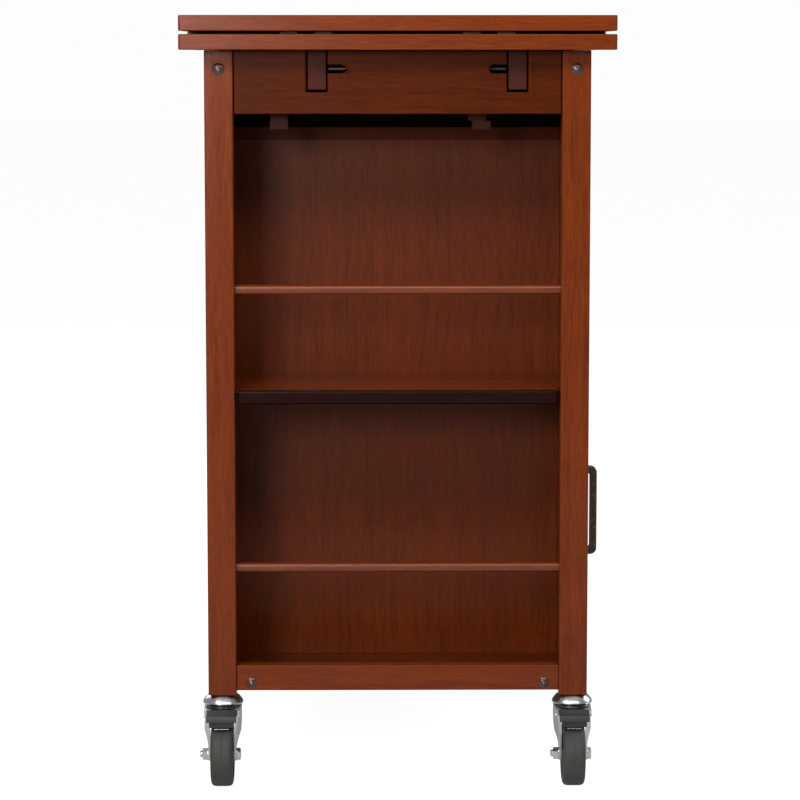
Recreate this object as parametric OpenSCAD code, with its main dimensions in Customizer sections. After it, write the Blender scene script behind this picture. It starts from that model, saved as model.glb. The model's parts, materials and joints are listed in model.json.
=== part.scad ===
// Kitchen cart: a worktop that lengthens with two pull-out leaves, an open shelf end,
// a cupboard with one door and one drawer, on four swivel casters with brakes.
// The front, with the door and the drawer, faces +X. The open shelf end, the left end
// as seen from the front, faces -Y. The floor is Z = 0. Sizes are in millimetres.

/* [Overall size] */
// Height of the worktop above the floor
cart_h = 900; // [860:10:960]
// Depth of the worktop, front to back
top_w = 500; // [480:10:560]
// Length of the worktop with both leaves pushed in
top_l = 700; // [680:10:760]
// How far the worktop reaches past the leg frame, all round
overhang = 27.5; // [20:0.5:32]

/* [Worktop] */
// Thickness of the fixed top board
top_t = 18; // [15:1:25]
// Radius of the upright corners of the top board and the leaves
top_round = 3; // [1:0.5:10]
// Thickness of each pull-out leaf
leaf_t = 18; // [15:1:22]
// Height of the space between the top board and the leaves
leaf_gap = 3.5; // [2.5:0.5:5]
// Length of the fixed strip between the two leaves
strip_l = 80; // [60:5:100]
// Width of each glide under the top board
glide_w = 20; // [12:1:26]
// Length of each glide
glide_l = 40; // [20:5:45]
// Distance from the worktop's end to the glides
glide_inset = 18; // [10:1:30]
// Distance of the inner glides from the middle of the worktop
glide_inner_x = 85; // [75:0.5:95]
// Distance of the outer glides from the middle of the worktop
glide_outer_x = 125; // [115:0.5:150]
// Distance from the worktop's end to the full-width glide
glide_long_inset = 161.5; // [80:0.5:200]

/* [Leg frame] */
// Width of the square legs
leg_w = 33; // [30:1:36]
// Radius of the legs' eased edges
leg_round = 1.5; // [0.5:0.5:3]
// Thickness of the four aprons
apron_t = 19; // [16:1:22]
// Height of the two end aprons
end_apron_h = 73; // [65:1:80]
// Height of the two side aprons, which is the height of the runner space
side_apron_h = 92.5; // [84:0.5:105]
// How far the aprons and rails lie back from the legs' outer faces
setback = 4.5; // [3:0.5:6]
// Thickness of the bottom rails
rail_t = 18; // [15:1:20]
// Height of the bottom rails
rail_h = 30; // [26:1:45]
// Height of the bottom rails above the legs' feet
rail_lift = 5; // [3:1:12]
// Length of the tenons
tenon_l = 8; // [5:1:9]
// Width of the shoulder all round a tenon
tenon_shoulder = 3; // [2:0.5:4]

/* [Panels and boards] */
// Thickness of the side, end and inner panels
panel_t = 15; // [12:1:16]
// Thickness of the boards inside the cupboard
board_t = 15; // [12:1:18]
// Thickness of the bottom board
floor_t = 5; // [4:0.5:8]
// Height of the rails' lip under the bottom board
floor_lip = 2; // [2:0.5:4]
// Depth of the groove that holds the bottom board
floor_groove = 6; // [4:0.5:8]
// Depth of the open shelf bay, from the legs' end face
bay_l = 174; // [150:1:200]
// Width of the jamb at the door's free edge
jamb_w = 20; // [15:1:30]

/* [Shelf bay] */
// Height of the middle shelf's top face above the bottom board
shelf_up = 348; // [300:2:380]
// Thickness of the middle shelf
shelf_t = 16; // [12:1:20]
// Gap between the middle shelf and the legs, each side
shelf_leg_gap = 1; // [0.5:0.5:2]
// Radius of the middle shelf's front corners
shelf_round = 4; // [1:0.5:8]
// Height of the middle of the lower guard rail above the bottom board
lower_guard_up = 138; // [80:2:180]
// Height of the middle of the upper guard rail above the middle shelf
upper_guard_up = 117.5; // [60:0.5:170]
// Height of the guard rails' section
guard_h = 11.5; // [10:0.5:20]
// Thickness of the guard rails
guard_t = 12; // [10:1:16]
// Radius of the guard rails' long edges
guard_round = 3; // [1:0.5:4]
// Distance of the middle shelf's front edge from the legs' end face
shelf_set = 8; // [4:1:16]
// Width and height of the cleats under the middle shelf
cleat_w = 9; // [7:0.5:12]
// Length of the cleats
cleat_l = 80; // [60:5:110]

/* [Cupboard] */
// Height of the space for the drawer, under the runner deck
drawer_space_h = 134.7; // [110:0.1:160]
// Height of the open niche between the drawer and the door
niche_h = 147; // [100:1:200]
// Gap round the door and the drawer front
front_gap = 2; // [1:0.5:3]
// Thickness of the door and the drawer front
front_t = 18; // [16:1:20]
// How far the door and the drawer front lie back from the legs' faces
front_set = 2; // [1:0.5:4]
// Width of the door's stiles and rails
stile_w = 45; // [40:1:65]
// Thickness of the door panel
door_panel_t = 6; // [4:1:8]
// Depth of the door panel's groove
door_groove = 8; // [5:1:10]

/* [Pulls and hinges] */
// Length of each pull along its bar
pull_l = 111; // [90:1:140]
// How far each pull stands out
pull_out = 29; // [24:1:30]
// Width and thickness of the pulls' bar
pull_bar = 9; // [7:0.5:11]
// Outer corner radius of the pulls
pull_round = 8; // [4:1:12]
// Diameter of the pulls' screws
pull_screw_d = 4; // [3:0.5:5]
// Distance from the door's free edge to the pull
pull_edge = 23; // [16:1:30]
// Height of each hinge
hinge_h = 50; // [40:2:70]
// Distance from the door's ends to the middle of each hinge
hinge_end = 50; // [40:2:80]
// Radius of the hinge knuckles
knuckle_r = 3; // [2.5:0.25:4]
// Radius of the hinge pins
hinge_pin_r = 1.5; // [1:0.25:1.75]
// Thickness of the hinge leaves
hinge_t = 1; // [0.6:0.1:1.2]

/* [Drawer] */
// Thickness of the drawer's sides and back
drawer_wall = 12; // [10:1:15]
// Height of the drawer's sides
drawer_side_h = 100; // [80:1:112]
// Thickness of the drawer's bottom
drawer_floor_t = 5; // [3:0.5:6]
// Height of the drawer runners
slide_h = 12; // [10:1:16]
// Space between the partition and the drawer's near side
slide_space = 12; // [8:1:16]
// Depth of the drawer runner's groove
slide_groove = 6; // [4:0.5:7]
// Space behind the closed drawer
drawer_back_gap = 12; // [8:1:40]
// Depth of the groove that holds the drawer's bottom
drawer_floor_groove = 6; // [4:0.5:8]
// Height of the drawer's bottom above the sides' lower edges
drawer_floor_up = 6; // [4:0.5:12]

/* [Leaf runners] */
// Width of each runner
runner_w = 21; // [18:1:24]
// Height of each runner under its leaf
runner_h = 45.5; // [40:0.5:50]
// Distance of the inner runners from the middle
runner_inner_x = 93; // [90:1:96]
// Distance of the outer runners from the middle
runner_outer_x = 138; // [132:1:145]
// Gap between a runner and its notch, each side
notch_side = 1.5; // [0.5:0.5:2.5]
// Gap under a runner in its notch
notch_under = 3; // [1:0.5:5]
// Length of the stop block under a runner's tail
tail_l = 22; // [16:1:24]
// Space between a closed leaf's stop blocks and the far end apron
tail_space = 16.5; // [12:0.5:60]
// Width of the stop block's foot
foot_w = 22; // [18:1:26]
// Height of the stop block's foot
foot_h = 10.6; // [6:0.1:14]
// Sideways offset of the inner runner's foot
foot_shift = 5; // [0:1:6]
// Thickness of the centre bearer
bearer_t = 20; // [16:1:24]

/* [Leaf lock bolts] */
// Length of the finger slot beside a notch
slot_l = 21; // [16:1:24]
// Height of the finger slot
slot_h = 10; // [8:0.5:14]
// Depth of the slot's middle below the leaf
slot_drop = 21.8; // [18:0.2:24]
// Diameter of the lock bolts
bolt_d = 6; // [4:0.5:7]
// How far a lock bolt slides
bolt_travel = 8; // [6:0.5:9]
// Length of a retracted bolt inside its guide bore
bolt_grip = 15; // [12:1:18]

/* [Frame bolts] */
// Diameter of the domed caps on the legs
leg_cap_d = 15; // [12:0.5:18]
// Diameter of the domed caps on the end rails
rail_cap_d = 13.4; // [10:0.2:15]
// Height of the domed caps
cap_h = 2.8; // [2:0.2:4]
// Diameter of the frame bolts
frame_bolt_d = 6; // [5:0.5:7]
// Depth of the frame bolts in the piece behind
frame_bolt_grip = 28; // [20:1:30]
// Depth of the leg caps' middle below the leaf
leg_cap_drop = 22; // [18:0.5:26]
// Distance of the rail caps from the legs
rail_cap_in = 17.5; // [15.5:0.5:24]
// Height of the rail caps above the rail's lower edge
rail_cap_up = 9; // [8:0.5:12]
// Length of the corner blocks behind the end rails
corner_l = 38; // [34:1:60]
// Width of the corner blocks
corner_w = 36; // [34:1:40]
// Height of the corner blocks
corner_h = 25; // [20:1:29]

/* [Casters] */
// Diameter of the wheels
wheel_d = 75; // [60:1:76]
// Space between a wheel and its fork's crown
wheel_room = 9; // [8.5:0.5:14]
// Width of the wheels
wheel_w = 26; // [20:1:27]
// Radius of the tyre's edges
tyre_round = 6; // [3:0.5:8]
// Distance from the swivel axis to the axle
trail = 22; // [16:1:24]
// Diameter of the axle bolt
axle_d = 8; // [6:0.5:10]
// Diameter of the caster stem
stem_d = 11; // [9:0.5:11.5]
// Depth of the caster stem in the leg
stem_in = 40; // [30:1:60]
// Diameter of the bell cap over the swivel
bell_d = 48; // [44:1:52]
// Height of the bell cap
bell_h = 13; // [11:0.5:14]
// Diameter of the fork's crown
crown_d = 41; // [38:0.5:42]
// Thickness of the fork's crown
crown_t = 8.7; // [6:0.1:9]
// Width across the fork at its top
fork_top_w = 43; // [42:0.5:46]
// Width across the fork at the axle
fork_axle_w = 33; // [32:0.5:36]
// Thickness of the fork's cheeks
cheek_t = 2.5; // [2:0.1:2.5]
// How far the cheeks reach behind the swivel axis
cheek_back = 14; // [10:1:18]
// Distance from the axle out to the pedal's pin
pedal_out = 6; // [4:0.5:8]
// Depth of the pedal's pin below the fork's top
pedal_drop = 7.7; // [7:0.1:9]
// Width of the brake pedals
pedal_w = 35; // [30:1:36]
// Radius of the pedal pins
pedal_pin_r = 2.5; // [2:0.25:3]

/* [Hidden] */
$fn = 48;

// Clearances
run_gap = 0.3; // between flat faces that slide past each other
joint_gap = 0.1; // round a tenon or a bolt in its hole
pin_gap = 0.05; // round a pin, an axle or a lock bolt in its bore
stop_gap = 0.5; // between a stop and its seat at the end of travel
cut = 1; // how far a cut runs past the face that it opens

// Colours
top_wood = [0.53, 0.25, 0.13];
leg_wood = [0.52, 0.24, 0.14];
apron_wood = [0.42, 0.17, 0.08];
inner_wood = [0.30, 0.15, 0.10];
end_grain = [0.30, 0.17, 0.15];
bronze = [0.24, 0.20, 0.17];
zinc = [0.78, 0.79, 0.80];
rubber = [0.20, 0.20, 0.19];
black = [0.10, 0.10, 0.10];
felt = [0.45, 0.42, 0.38];

// Plan of the leg frame
half_w = top_w / 2 - overhang;
half_l = top_l / 2 - overhang;
leg_x = half_w - leg_w / 2;
leg_y = half_l - leg_w / 2;
leg_in_x = half_w - leg_w;
leg_in_y = half_l - leg_w;
side_out = half_w - setback;
side_in = side_out - apron_t;
end_out = half_l - setback;
end_in = end_out - apron_t;
panel_x = [leg_x - panel_t / 2, leg_x + panel_t / 2];
panel_end_y = [leg_y - panel_t / 2, leg_y + panel_t / 2];
partition_y = [bay_l - half_l, bay_l - half_l + panel_t];
opening_y = [partition_y[1], leg_in_y];
rail_cap_x = leg_in_x - rail_cap_in;

// Heights
caster_h = wheel_d + wheel_room + crown_t + run_gap + bell_h;
top_under = cart_h - top_t;
leaf_top = top_under - leaf_gap;
leaf_under = leaf_top - leaf_t;
frame_top = leaf_under - run_gap;
deck_top = frame_top - side_apron_h;
deck_under = deck_top - board_t;
rail_z = [caster_h + rail_lift, caster_h + rail_lift + rail_h];
floor_z = [rail_z[0] + floor_lip, rail_z[0] + floor_lip + floor_t];
end_apron_z = [frame_top - end_apron_h, frame_top];
side_apron_z = [deck_top, frame_top];
shelf_z = floor_z[1] + shelf_up;
lower_guard_z = floor_z[1] + lower_guard_up;
upper_guard_z = shelf_z + upper_guard_up;
drawer_z = deck_under - drawer_space_h;
niche_z = drawer_z - board_t - niche_h;
guard_dowel_r = guard_h / 2 - 2;

// Leaves and their runners
strip_half = strip_l / 2;
leaf_inner = strip_half + 1;
runner_z = leaf_under - runner_h;
notch_z = runner_z - notch_under;
notch_half = runner_w / 2 + notch_side;
tail_y = end_in - tail_space;
leaf_travel = tail_y - tail_l - stop_gap - bearer_t / 2;
foot_z = [deck_top + run_gap, deck_top + run_gap + foot_h];
slot_z = leaf_under - slot_drop;
bolt_y = (end_out + end_in) / 2;
bolt_l = slot_l + bolt_grip - 1;
leg_cap_z = leaf_under - leg_cap_drop;
rail_cap_z = rail_z[0] + rail_cap_up;

// Door and drawer
front_x = [half_w - front_set - front_t, half_w - front_set];
hinge_gap = 2 * hinge_t + 0.4;
door_y = [opening_y[0] + front_gap, opening_y[1] - hinge_gap];
door_z = [rail_z[1] + front_gap, niche_z - board_t - front_gap];
drawer_front_y = [opening_y[0] + front_gap, opening_y[1] - front_gap];
drawer_front_z = [drawer_z + front_gap, deck_under - front_gap];
drawer_mid_y = (drawer_front_y[0] + drawer_front_y[1]) / 2;
drawer_mid_z = (drawer_front_z[0] + drawer_front_z[1]) / 2;
far_side_space = panel_end_y[0] - leg_in_y + slide_space;
drawer_y = [opening_y[0] + slide_space, panel_end_y[0] - far_side_space];
drawer_x = [drawer_back_gap - panel_x[0], front_x[0]];
drawer_side_z = [drawer_mid_z - drawer_side_h / 2, drawer_mid_z + drawer_side_h / 2];
drawer_floor_z = [drawer_side_z[0] + drawer_floor_up, drawer_side_z[0] + drawer_floor_up + drawer_floor_t];
slide_end = leg_in_x - 4;
hinge_axis_x = half_w + knuckle_r + 0.3;
hinge_axis_y = leg_in_y - hinge_gap / 2;
hinge_split = hinge_h / 6;
hinge_inset = 4;
catch_in = 34;
catch_w = 40;
catch_y = [opening_y[0] + catch_in, opening_y[0] + catch_in + catch_w];
catch_drop = 14;
catch_l = 18;
strike_t = 0.9;
door_pull_y = door_y[0] + pull_edge;
door_pull_z = (door_z[0] + door_z[1]) / 2;
pull_foot = pull_bar / 2;
pull_inner_round = 3;

// Casters: a side view has its outward distance from the swivel axis first, then its height
axle_z = wheel_d / 2;
crown_z = [caster_h - bell_h - run_gap - crown_t, caster_h - bell_h - run_gap];
pedal_pin = [trail + pedal_out, crown_z[1] - pedal_drop];
cheek_bend_low = axle_z + 9;
cheek_bend_top = axle_z + 33;
cheek_end = axle_z - 12;
nut_w = 13;
nut_l = 7;
head_l = 5;
thread_l = 3;
cheek_boss_r = 8;
rivet_t = 2.5;
rivet_lip = 2.5;
hub_r = axle_d / 2 + 5;
rim_r = wheel_d / 2 - 9;
rim_recess = 3;

// Box between two limits along each axis
module block(x, y, z) {
  translate([x[0], y[0], z[0]])
    cube([x[1] - x[0], y[1] - y[0], z[1] - z[0]]);
}

// Rectangle about the origin with rounded corners
module rounded(w, l, r) {
  square([w - 2 * r, l], center = true);
  square([w, l - 2 * r], center = true);
  for (x = [-1, 1], y = [-1, 1])
    translate([x * (w / 2 - r), y * (l / 2 - r)])
      circle(r);
}

// Cylinder along X from one place to another
module rod_x(r, x, y, z) {
  translate([min(x), y, z])
    rotate([0, 90, 0])
      cylinder(r = r, h = max(x) - min(x));
}

// Cylinder along Y from one place to another
module rod_y(r, y, x, z) {
  translate([x, min(y), z])
    rotate([-90, 0, 0])
      cylinder(r = r, h = max(y) - min(y));
}

// The front (1) or the back (-1)
module at_side(side) {
  if (side < 0)
    mirror([1, 0, 0])
      children();
  else
    children();
}

// The left end (-1) or the right end (1), which is the left end turned half round
module at_end(end) {
  if (end > 0)
    rotate([0, 0, 180])
      children();
  else
    children();
}

// Tenons at both ends of a bar along X, as one bar, grown by a gap
module tenons_x(y, z, gap) {
  reach = leg_in_x + tenon_l + gap;
  inset = tenon_shoulder - gap;
  block([-reach, reach], [y[0] + inset, y[1] - inset], [z[0] + inset, z[1] - inset]);
}

// The same along Y
module tenons_y(x, z, gap) {
  reach = leg_in_y + tenon_l + gap;
  inset = tenon_shoulder - gap;
  block([x[0] + inset, x[1] - inset], [-reach, reach], [z[0] + inset, z[1] - inset]);
}

// Bar along X between two legs, with its tenons
module bar_x(y, z) {
  block([-leg_in_x, leg_in_x], y, z);
  tenons_x(y, z, 0);
}

// Bar along Y between two legs, with its tenons
module bar_y(x, z) {
  block(x, [-leg_in_y, leg_in_y], z);
  tenons_y(x, z, 0);
}

// Everything that the legs' mortises and grooves take
module mortises() {
  for (end = [-1, 1])
    at_end(end) {
      tenons_x([-end_out, -end_in], end_apron_z, joint_gap);
      tenons_x([-end_out, rail_t - end_out], rail_z, joint_gap);
    }
  for (side = [-1, 1])
    at_side(side) {
      tenons_y([side_in, side_out], side_apron_z, joint_gap);
      tenons_y([side_out - rail_t, side_out], rail_z, joint_gap);
    }
  tenons_x(panel_end_y, [rail_z[1], end_apron_z[0]], joint_gap);
  at_side(-1)
    tenons_y(panel_x, [rail_z[1], side_apron_z[0]], joint_gap);
  bay_panel_tongue(joint_gap);
  for (z = [lower_guard_z, upper_guard_z])
    guard_tenons(z, joint_gap);
}

// Tongue of the bay's front panel in the left front leg
module bay_panel_tongue(gap) {
  inset = tenon_shoulder - gap;
  block(
    [panel_x[0] + inset, panel_x[1] - inset],
    [-leg_in_y - tenon_l - gap, -leg_in_y + cut],
    [rail_z[1] + inset, side_apron_z[0] - inset]
  );
}

// Round dowel ends of a guard rail
module guard_tenons(z, gap) {
  reach = leg_in_x + tenon_l + gap;
  rod_x(guard_dowel_r + gap, [-reach, reach], -leg_y, z);
}

// Outline in plan of a board inside the cupboard, cut round the two right-hand legs and the jamb
module board_plan(y0) {
  difference() {
    translate([-panel_x[0], y0])
      square([side_out + panel_x[0], panel_end_y[0] - y0]);
    for (side = [-1, 1])
      translate([side * leg_x, leg_y])
        square(leg_w + 2 * joint_gap, center = true);
    translate([panel_x[0] - joint_gap, partition_y[1] - 2 * jamb_w])
      square(2 * jamb_w + joint_gap);
  }
}

// Fixed top board
module main_top() {
  color(top_wood)
    translate([0, 0, top_under])
      linear_extrude(top_t)
        rounded(top_w, top_l, top_round);
}

// Fixed strip between the leaves, which carries the top board
module centre_strip() {
  color(top_wood)
    block([-top_w / 2, top_w / 2], [-strip_half, strip_half], [frame_top, top_under]);
}

// Glides under the top board, over the leaves: four short ones and a full-width one at each end
module leaf_glides() {
  z = [leaf_top + run_gap, top_under];
  near = glide_inset - top_l / 2;
  far = glide_long_inset - top_l / 2;
  color(felt)
    for (end = [-1, 1])
      at_end(end) {
        for (side = [-1, 1], x = [glide_inner_x, glide_outer_x])
          block([side * x - glide_w / 2, side * x + glide_w / 2], [near, near + glide_l], z);
        block([-top_w / 2, top_w / 2], [far, far + glide_w], z);
      }
}

// Leg at one side and end
module leg(side, end) {
  color(leg_wood)
    difference() {
      translate([side * leg_x, end * leg_y, caster_h])
        linear_extrude(frame_top - caster_h)
          rounded(leg_w, leg_w, leg_round);
      mortises();
      rod_y(frame_bolt_d / 2 + joint_gap, [-half_l - cut, half_l + cut], side * leg_x, leg_cap_z);
      translate([side * leg_x, end * leg_y, caster_h - cut])
        cylinder(d = stem_d + 2 * joint_gap, h = stem_in + cut + 1);
    }
}

// Apron at the left or right end, with a notch for each of its leaf's runners
module apron_end(end) {
  y = [-end_out - cut, cut - end_in];
  color(apron_wood)
    at_end(end)
      difference() {
        bar_x([-end_out, -end_in], end_apron_z);
        for (x = [-runner_inner_x, runner_outer_x])
          block([x - notch_half, x + notch_half], y, [notch_z, frame_top + cut]);
        for (run = [[-runner_inner_x, 1], [runner_outer_x, -1]]) {
          mouth = run[0] + run[1] * notch_half;
          tip = mouth + run[1] * (slot_l - slot_h / 2);
          block(
            [min(mouth - run[1], tip), max(mouth - run[1], tip)],
            y,
            [slot_z - slot_h / 2, slot_z + slot_h / 2]
          );
          rod_y(slot_h / 2, y, tip, slot_z);
          rod_x(
            bolt_d / 2 + pin_gap,
            [tip, mouth + run[1] * (slot_l + bolt_grip + 2)],
            -bolt_y,
            slot_z
          );
        }
      }
}

// Apron along the front or the back
module apron_side(side) {
  color(apron_wood)
    at_side(side)
      difference() {
        bar_y([side_in, side_out], side_apron_z);
        for (end = [-1, 1])
          rod_y(
            frame_bolt_d / 2 + joint_gap,
            [end * (leg_in_y - frame_bolt_grip - 1), end * (half_l + cut)],
            leg_x,
            leg_cap_z
          );
      }
}

// Bearer across the middle of the runner space, notched for the four runners
module centre_bearer() {
  color(inner_wood)
    difference() {
      block([-side_in, side_in], [-bearer_t / 2, bearer_t / 2], [deck_top, frame_top]);
      for (side = [-1, 1], x = [runner_inner_x, runner_outer_x])
        translate([side * x - notch_half, -bearer_t / 2 - cut, notch_z])
          cube([2 * notch_half, bearer_t + 2 * cut, frame_top]);
    }
}

// Groove for the bottom board, all round
module floor_cut() {
  block(
    [-side_out + rail_t - floor_groove, side_out - rail_t + floor_groove],
    [-end_out + rail_t - floor_groove, end_out - rail_t + floor_groove],
    [floor_z[0] - joint_gap, floor_z[1] + joint_gap]
  );
}

// Bottom rail at the left or right end
module rail_end(end) {
  color(leg_wood)
    at_end(end)
      difference() {
        bar_x([-end_out, rail_t - end_out], rail_z);
        floor_cut();
        for (side = [-1, 1])
          rod_y(
            frame_bolt_d / 2 + joint_gap,
            [-end_out - cut, rail_t - end_out + cut],
            side * rail_cap_x,
            rail_cap_z
          );
      }
}

// Bottom rail along the front or the back
module rail_side(side) {
  color(leg_wood)
    at_side(side)
      difference() {
        bar_y([side_out - rail_t, side_out], rail_z);
        floor_cut();
      }
}

// Bottom board in the rails' grooves, cut round the legs and the corner blocks
module bottom_board() {
  reach_x = side_out - rail_t + floor_groove - 0.5;
  reach_y = end_out - rail_t + floor_groove - 0.5;
  corner_x = side_out - rail_t - corner_w;
  corner_y = end_out - rail_t - corner_l;
  color(inner_wood)
    difference() {
      block([-reach_x, reach_x], [-reach_y, reach_y], floor_z);
      for (side = [-1, 1], end = [-1, 1])
        translate([side * half_w, end * half_l, 0])
          cube(2 * [half_w - corner_x + joint_gap, half_l - corner_y + joint_gap, cart_h], center = true);
    }
}

// Middle shelf of the open bay, narrower between the legs
module bay_shelf() {
  front_half = leg_in_x - shelf_leg_gap;
  back_half = panel_x[0] - joint_gap;
  front = -half_l + shelf_set;
  color(leg_wood)
    translate([0, 0, shelf_z - shelf_t])
      linear_extrude(shelf_t) {
        translate([0, (front - leg_in_y) / 2 + shelf_round])
          rounded(2 * front_half, -leg_in_y - front + 2 * shelf_round, shelf_round);
        translate([-back_half, -leg_in_y + shelf_leg_gap])
          square([2 * back_half, partition_y[0] + leg_in_y - shelf_leg_gap - joint_gap]);
      }
}

// The two guard rails across the open end of the bay
module guard_rails() {
  color(leg_wood)
    for (z = [lower_guard_z, upper_guard_z]) {
      translate([-leg_in_x, -leg_y, z])
        rotate([90, 0, 90])
          linear_extrude(2 * leg_in_x)
            rounded(guard_t, guard_h, guard_round);
      guard_tenons(z, 0);
    }
}

// Panel between the open bay and the cupboard
module partition() {
  color(inner_wood)
    block([-panel_x[0], panel_x[0]], partition_y, [floor_z[1], deck_under]);
}

// Deck under the leaf runners, over the cupboard
module runner_deck() {
  color(inner_wood)
    translate([0, 0, deck_under])
      linear_extrude(board_t)
        board_plan(partition_y[0]);
}

// Board over the door and board under the drawer
module cupboard_boards() {
  color(inner_wood)
    for (z = [niche_z, drawer_z])
      translate([0, 0, z - board_t])
        linear_extrude(board_t)
          board_plan(partition_y[1]);
}

// Back panel, the whole length between the legs
module panel_back() {
  color(apron_wood)
    at_side(-1)
      bar_y(panel_x, [rail_z[1], side_apron_z[0]]);
}

// End panel on the right
module panel_right() {
  color(apron_wood)
    bar_x(panel_end_y, [rail_z[1], end_apron_z[0]]);
}

// Front panel of the open bay
module panel_bay() {
  color(apron_wood) {
    block(panel_x, [-leg_in_y, partition_y[1] - jamb_w], [rail_z[1], side_apron_z[0]]);
    bay_panel_tongue(0);
  }
}

// Jamb in front of the partition, at the free edges of the door and the drawer front
module door_jamb() {
  color(leg_wood)
    block([panel_x[0], side_out], [partition_y[1] - jamb_w, partition_y[1]], [rail_z[1], side_apron_z[0]]);
}

// Corner blocks behind the end rails, and cleats under the middle shelf
module glue_blocks() {
  inner_x = side_out - rail_t;
  inner_y = end_out - rail_t;
  color(end_grain) {
    for (side = [-1, 1], end = [-1, 1])
      at_side(side)
        at_end(end)
          difference() {
            block(
              [inner_x - corner_w, inner_x],
              [-inner_y, corner_l - inner_y],
              [rail_z[0], rail_z[0] + corner_h]
            );
            translate([leg_x, -leg_y, 0])
              cube([leg_w + 2 * joint_gap, leg_w + 2 * joint_gap, 2 * cart_h], center = true);
            rod_y(
              frame_bolt_d / 2 + joint_gap,
              [-inner_y - cut, -inner_y + frame_bolt_grip + 1],
              rail_cap_x,
              rail_cap_z
            );
          }
    for (side = [-1, 1])
      at_side(side)
        block(
          [panel_x[0] - cleat_w, panel_x[0]],
          [partition_y[0] - cleat_l, partition_y[0]],
          [shelf_z - shelf_t - cleat_w, shelf_z - shelf_t]
        );
  }
}

// Bolt along Y with a domed cap on its head
module capped_bolt(x, y, z, cap_d, shank_l) {
  ball_r = (cap_d * cap_d / 4 + cap_h * cap_h) / (2 * cap_h);
  translate([x, y, z])
    rotate([90, 0, 0])
      rotate_extrude() {
        translate([0, -shank_l])
          square([frame_bolt_d / 2, shank_l + cap_h / 2]);
        intersection() {
          translate([0, cap_h - ball_r])
            circle(ball_r);
          square([cap_d, cap_h]);
        }
      }
}

// Capped bolts through the legs into the side aprons, and through the end rails
module frame_bolts() {
  color(bronze)
    for (end = [-1, 1], side = [-1, 1])
      at_end(end) {
        capped_bolt(side * leg_x, -half_l, leg_cap_z, leg_cap_d, leg_w + frame_bolt_grip);
        capped_bolt(side * rail_cap_x, -end_out, rail_cap_z, rail_cap_d, rail_t + frame_bolt_grip);
      }
}

// Stem, bell cap and retaining head of each caster, fixed in its leg
module caster_stems() {
  bell_r = bell_d / 2;
  bell_z = caster_h - bell_h;
  color(zinc)
    for (side = [-1, 1], end = [-1, 1])
      translate([side * leg_x, end * leg_y, 0]) {
        translate([0, 0, crown_z[0] - run_gap])
          cylinder(d = stem_d, h = caster_h + stem_in - crown_z[0] + run_gap);
        translate([0, 0, crown_z[0] - run_gap - rivet_t])
          cylinder(r = stem_d / 2 + rivet_lip, h = rivet_t);
        rotate_extrude()
          polygon([
            [0, caster_h],
            [bell_r - 8, caster_h],
            [bell_r - 3.5, caster_h - 2.5],
            [bell_r - 0.7, caster_h - 6.5],
            [bell_r, caster_h - 9],
            [bell_r - 0.5, caster_h - 10.8],
            [bell_r - 2.5, bell_z],
            [0, bell_z]
          ]);
      }
}

// Knuckles of one hinge between two heights, without their bore
module knuckle(z0, z1) {
  translate([hinge_axis_x, hinge_axis_y, z0])
    cylinder(r = knuckle_r, h = z1 - z0);
}

// Heights of the two hinges
function hinge_heights() = [door_z[0] + hinge_end, door_z[1] - hinge_end];

// Hinge leaves on the right front leg, with their end knuckles and pins
module hinge_leaves_fixed() {
  color(bronze)
    for (z = hinge_heights()) {
      difference() {
        union() {
          block(
            [front_x[0] + hinge_inset, hinge_axis_x],
            [leg_in_y - hinge_t, leg_in_y],
            [z - hinge_h / 2, z + hinge_h / 2]
          );
          knuckle(z - hinge_h / 2, z + hinge_h / 2);
        }
        translate([hinge_axis_x, hinge_axis_y, z])
          cylinder(r = knuckle_r + run_gap, h = 2 * hinge_split + 2 * run_gap, center = true);
      }
      translate([hinge_axis_x, hinge_axis_y, z - hinge_split - cut])
        cylinder(r = hinge_pin_r, h = 2 * hinge_split + 2 * cut);
    }
}

// Hinge leaves on the door with their middle knuckles, and the catch's strike plate
module door_hinge_leaves() {
  color(bronze) {
    for (z = hinge_heights())
      difference() {
        union() {
          block(
            [front_x[0] + hinge_inset, hinge_axis_x],
            [door_y[1], door_y[1] + hinge_t],
            [z - hinge_h / 2, z + hinge_h / 2]
          );
          knuckle(z - hinge_split, z + hinge_split);
        }
        for (side = [-1, 1])
          translate([hinge_axis_x, hinge_axis_y, z + side * hinge_h / 2])
            cylinder(r = knuckle_r + run_gap, h = hinge_h - 2 * hinge_split, center = true);
        translate([hinge_axis_x, hinge_axis_y, z])
          cylinder(r = hinge_pin_r + pin_gap, h = hinge_h, center = true);
      }
    block(
      [front_x[0] - strike_t, front_x[0]],
      [catch_y[0] + 2, catch_y[1] - 2],
      [door_z[1] - catch_drop + 3, door_z[1] - 2]
    );
  }
}

// Magnetic catch under the board over the door
module door_catch() {
  back = front_x[0] - strike_t - run_gap;
  under = niche_z - board_t;
  color(black)
    block([back - catch_l, back], catch_y, [under - catch_drop, under]);
}

// Section of a drawer runner or of its groove, grown by a gap
function slide_z(gap) = [drawer_mid_z - slide_h / 2 - gap, drawer_mid_z + slide_h / 2 + gap];

// Wooden drawer runners on the partition and on the right end panel
module drawer_runners() {
  reach = slide_groove - run_gap;
  x = [-slide_end, slide_end];
  color(end_grain) {
    block(x, [opening_y[0], drawer_y[0] + reach], slide_z(0));
    block(x, [drawer_y[1] - reach, panel_end_y[0]], slide_z(0));
  }
}

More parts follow.
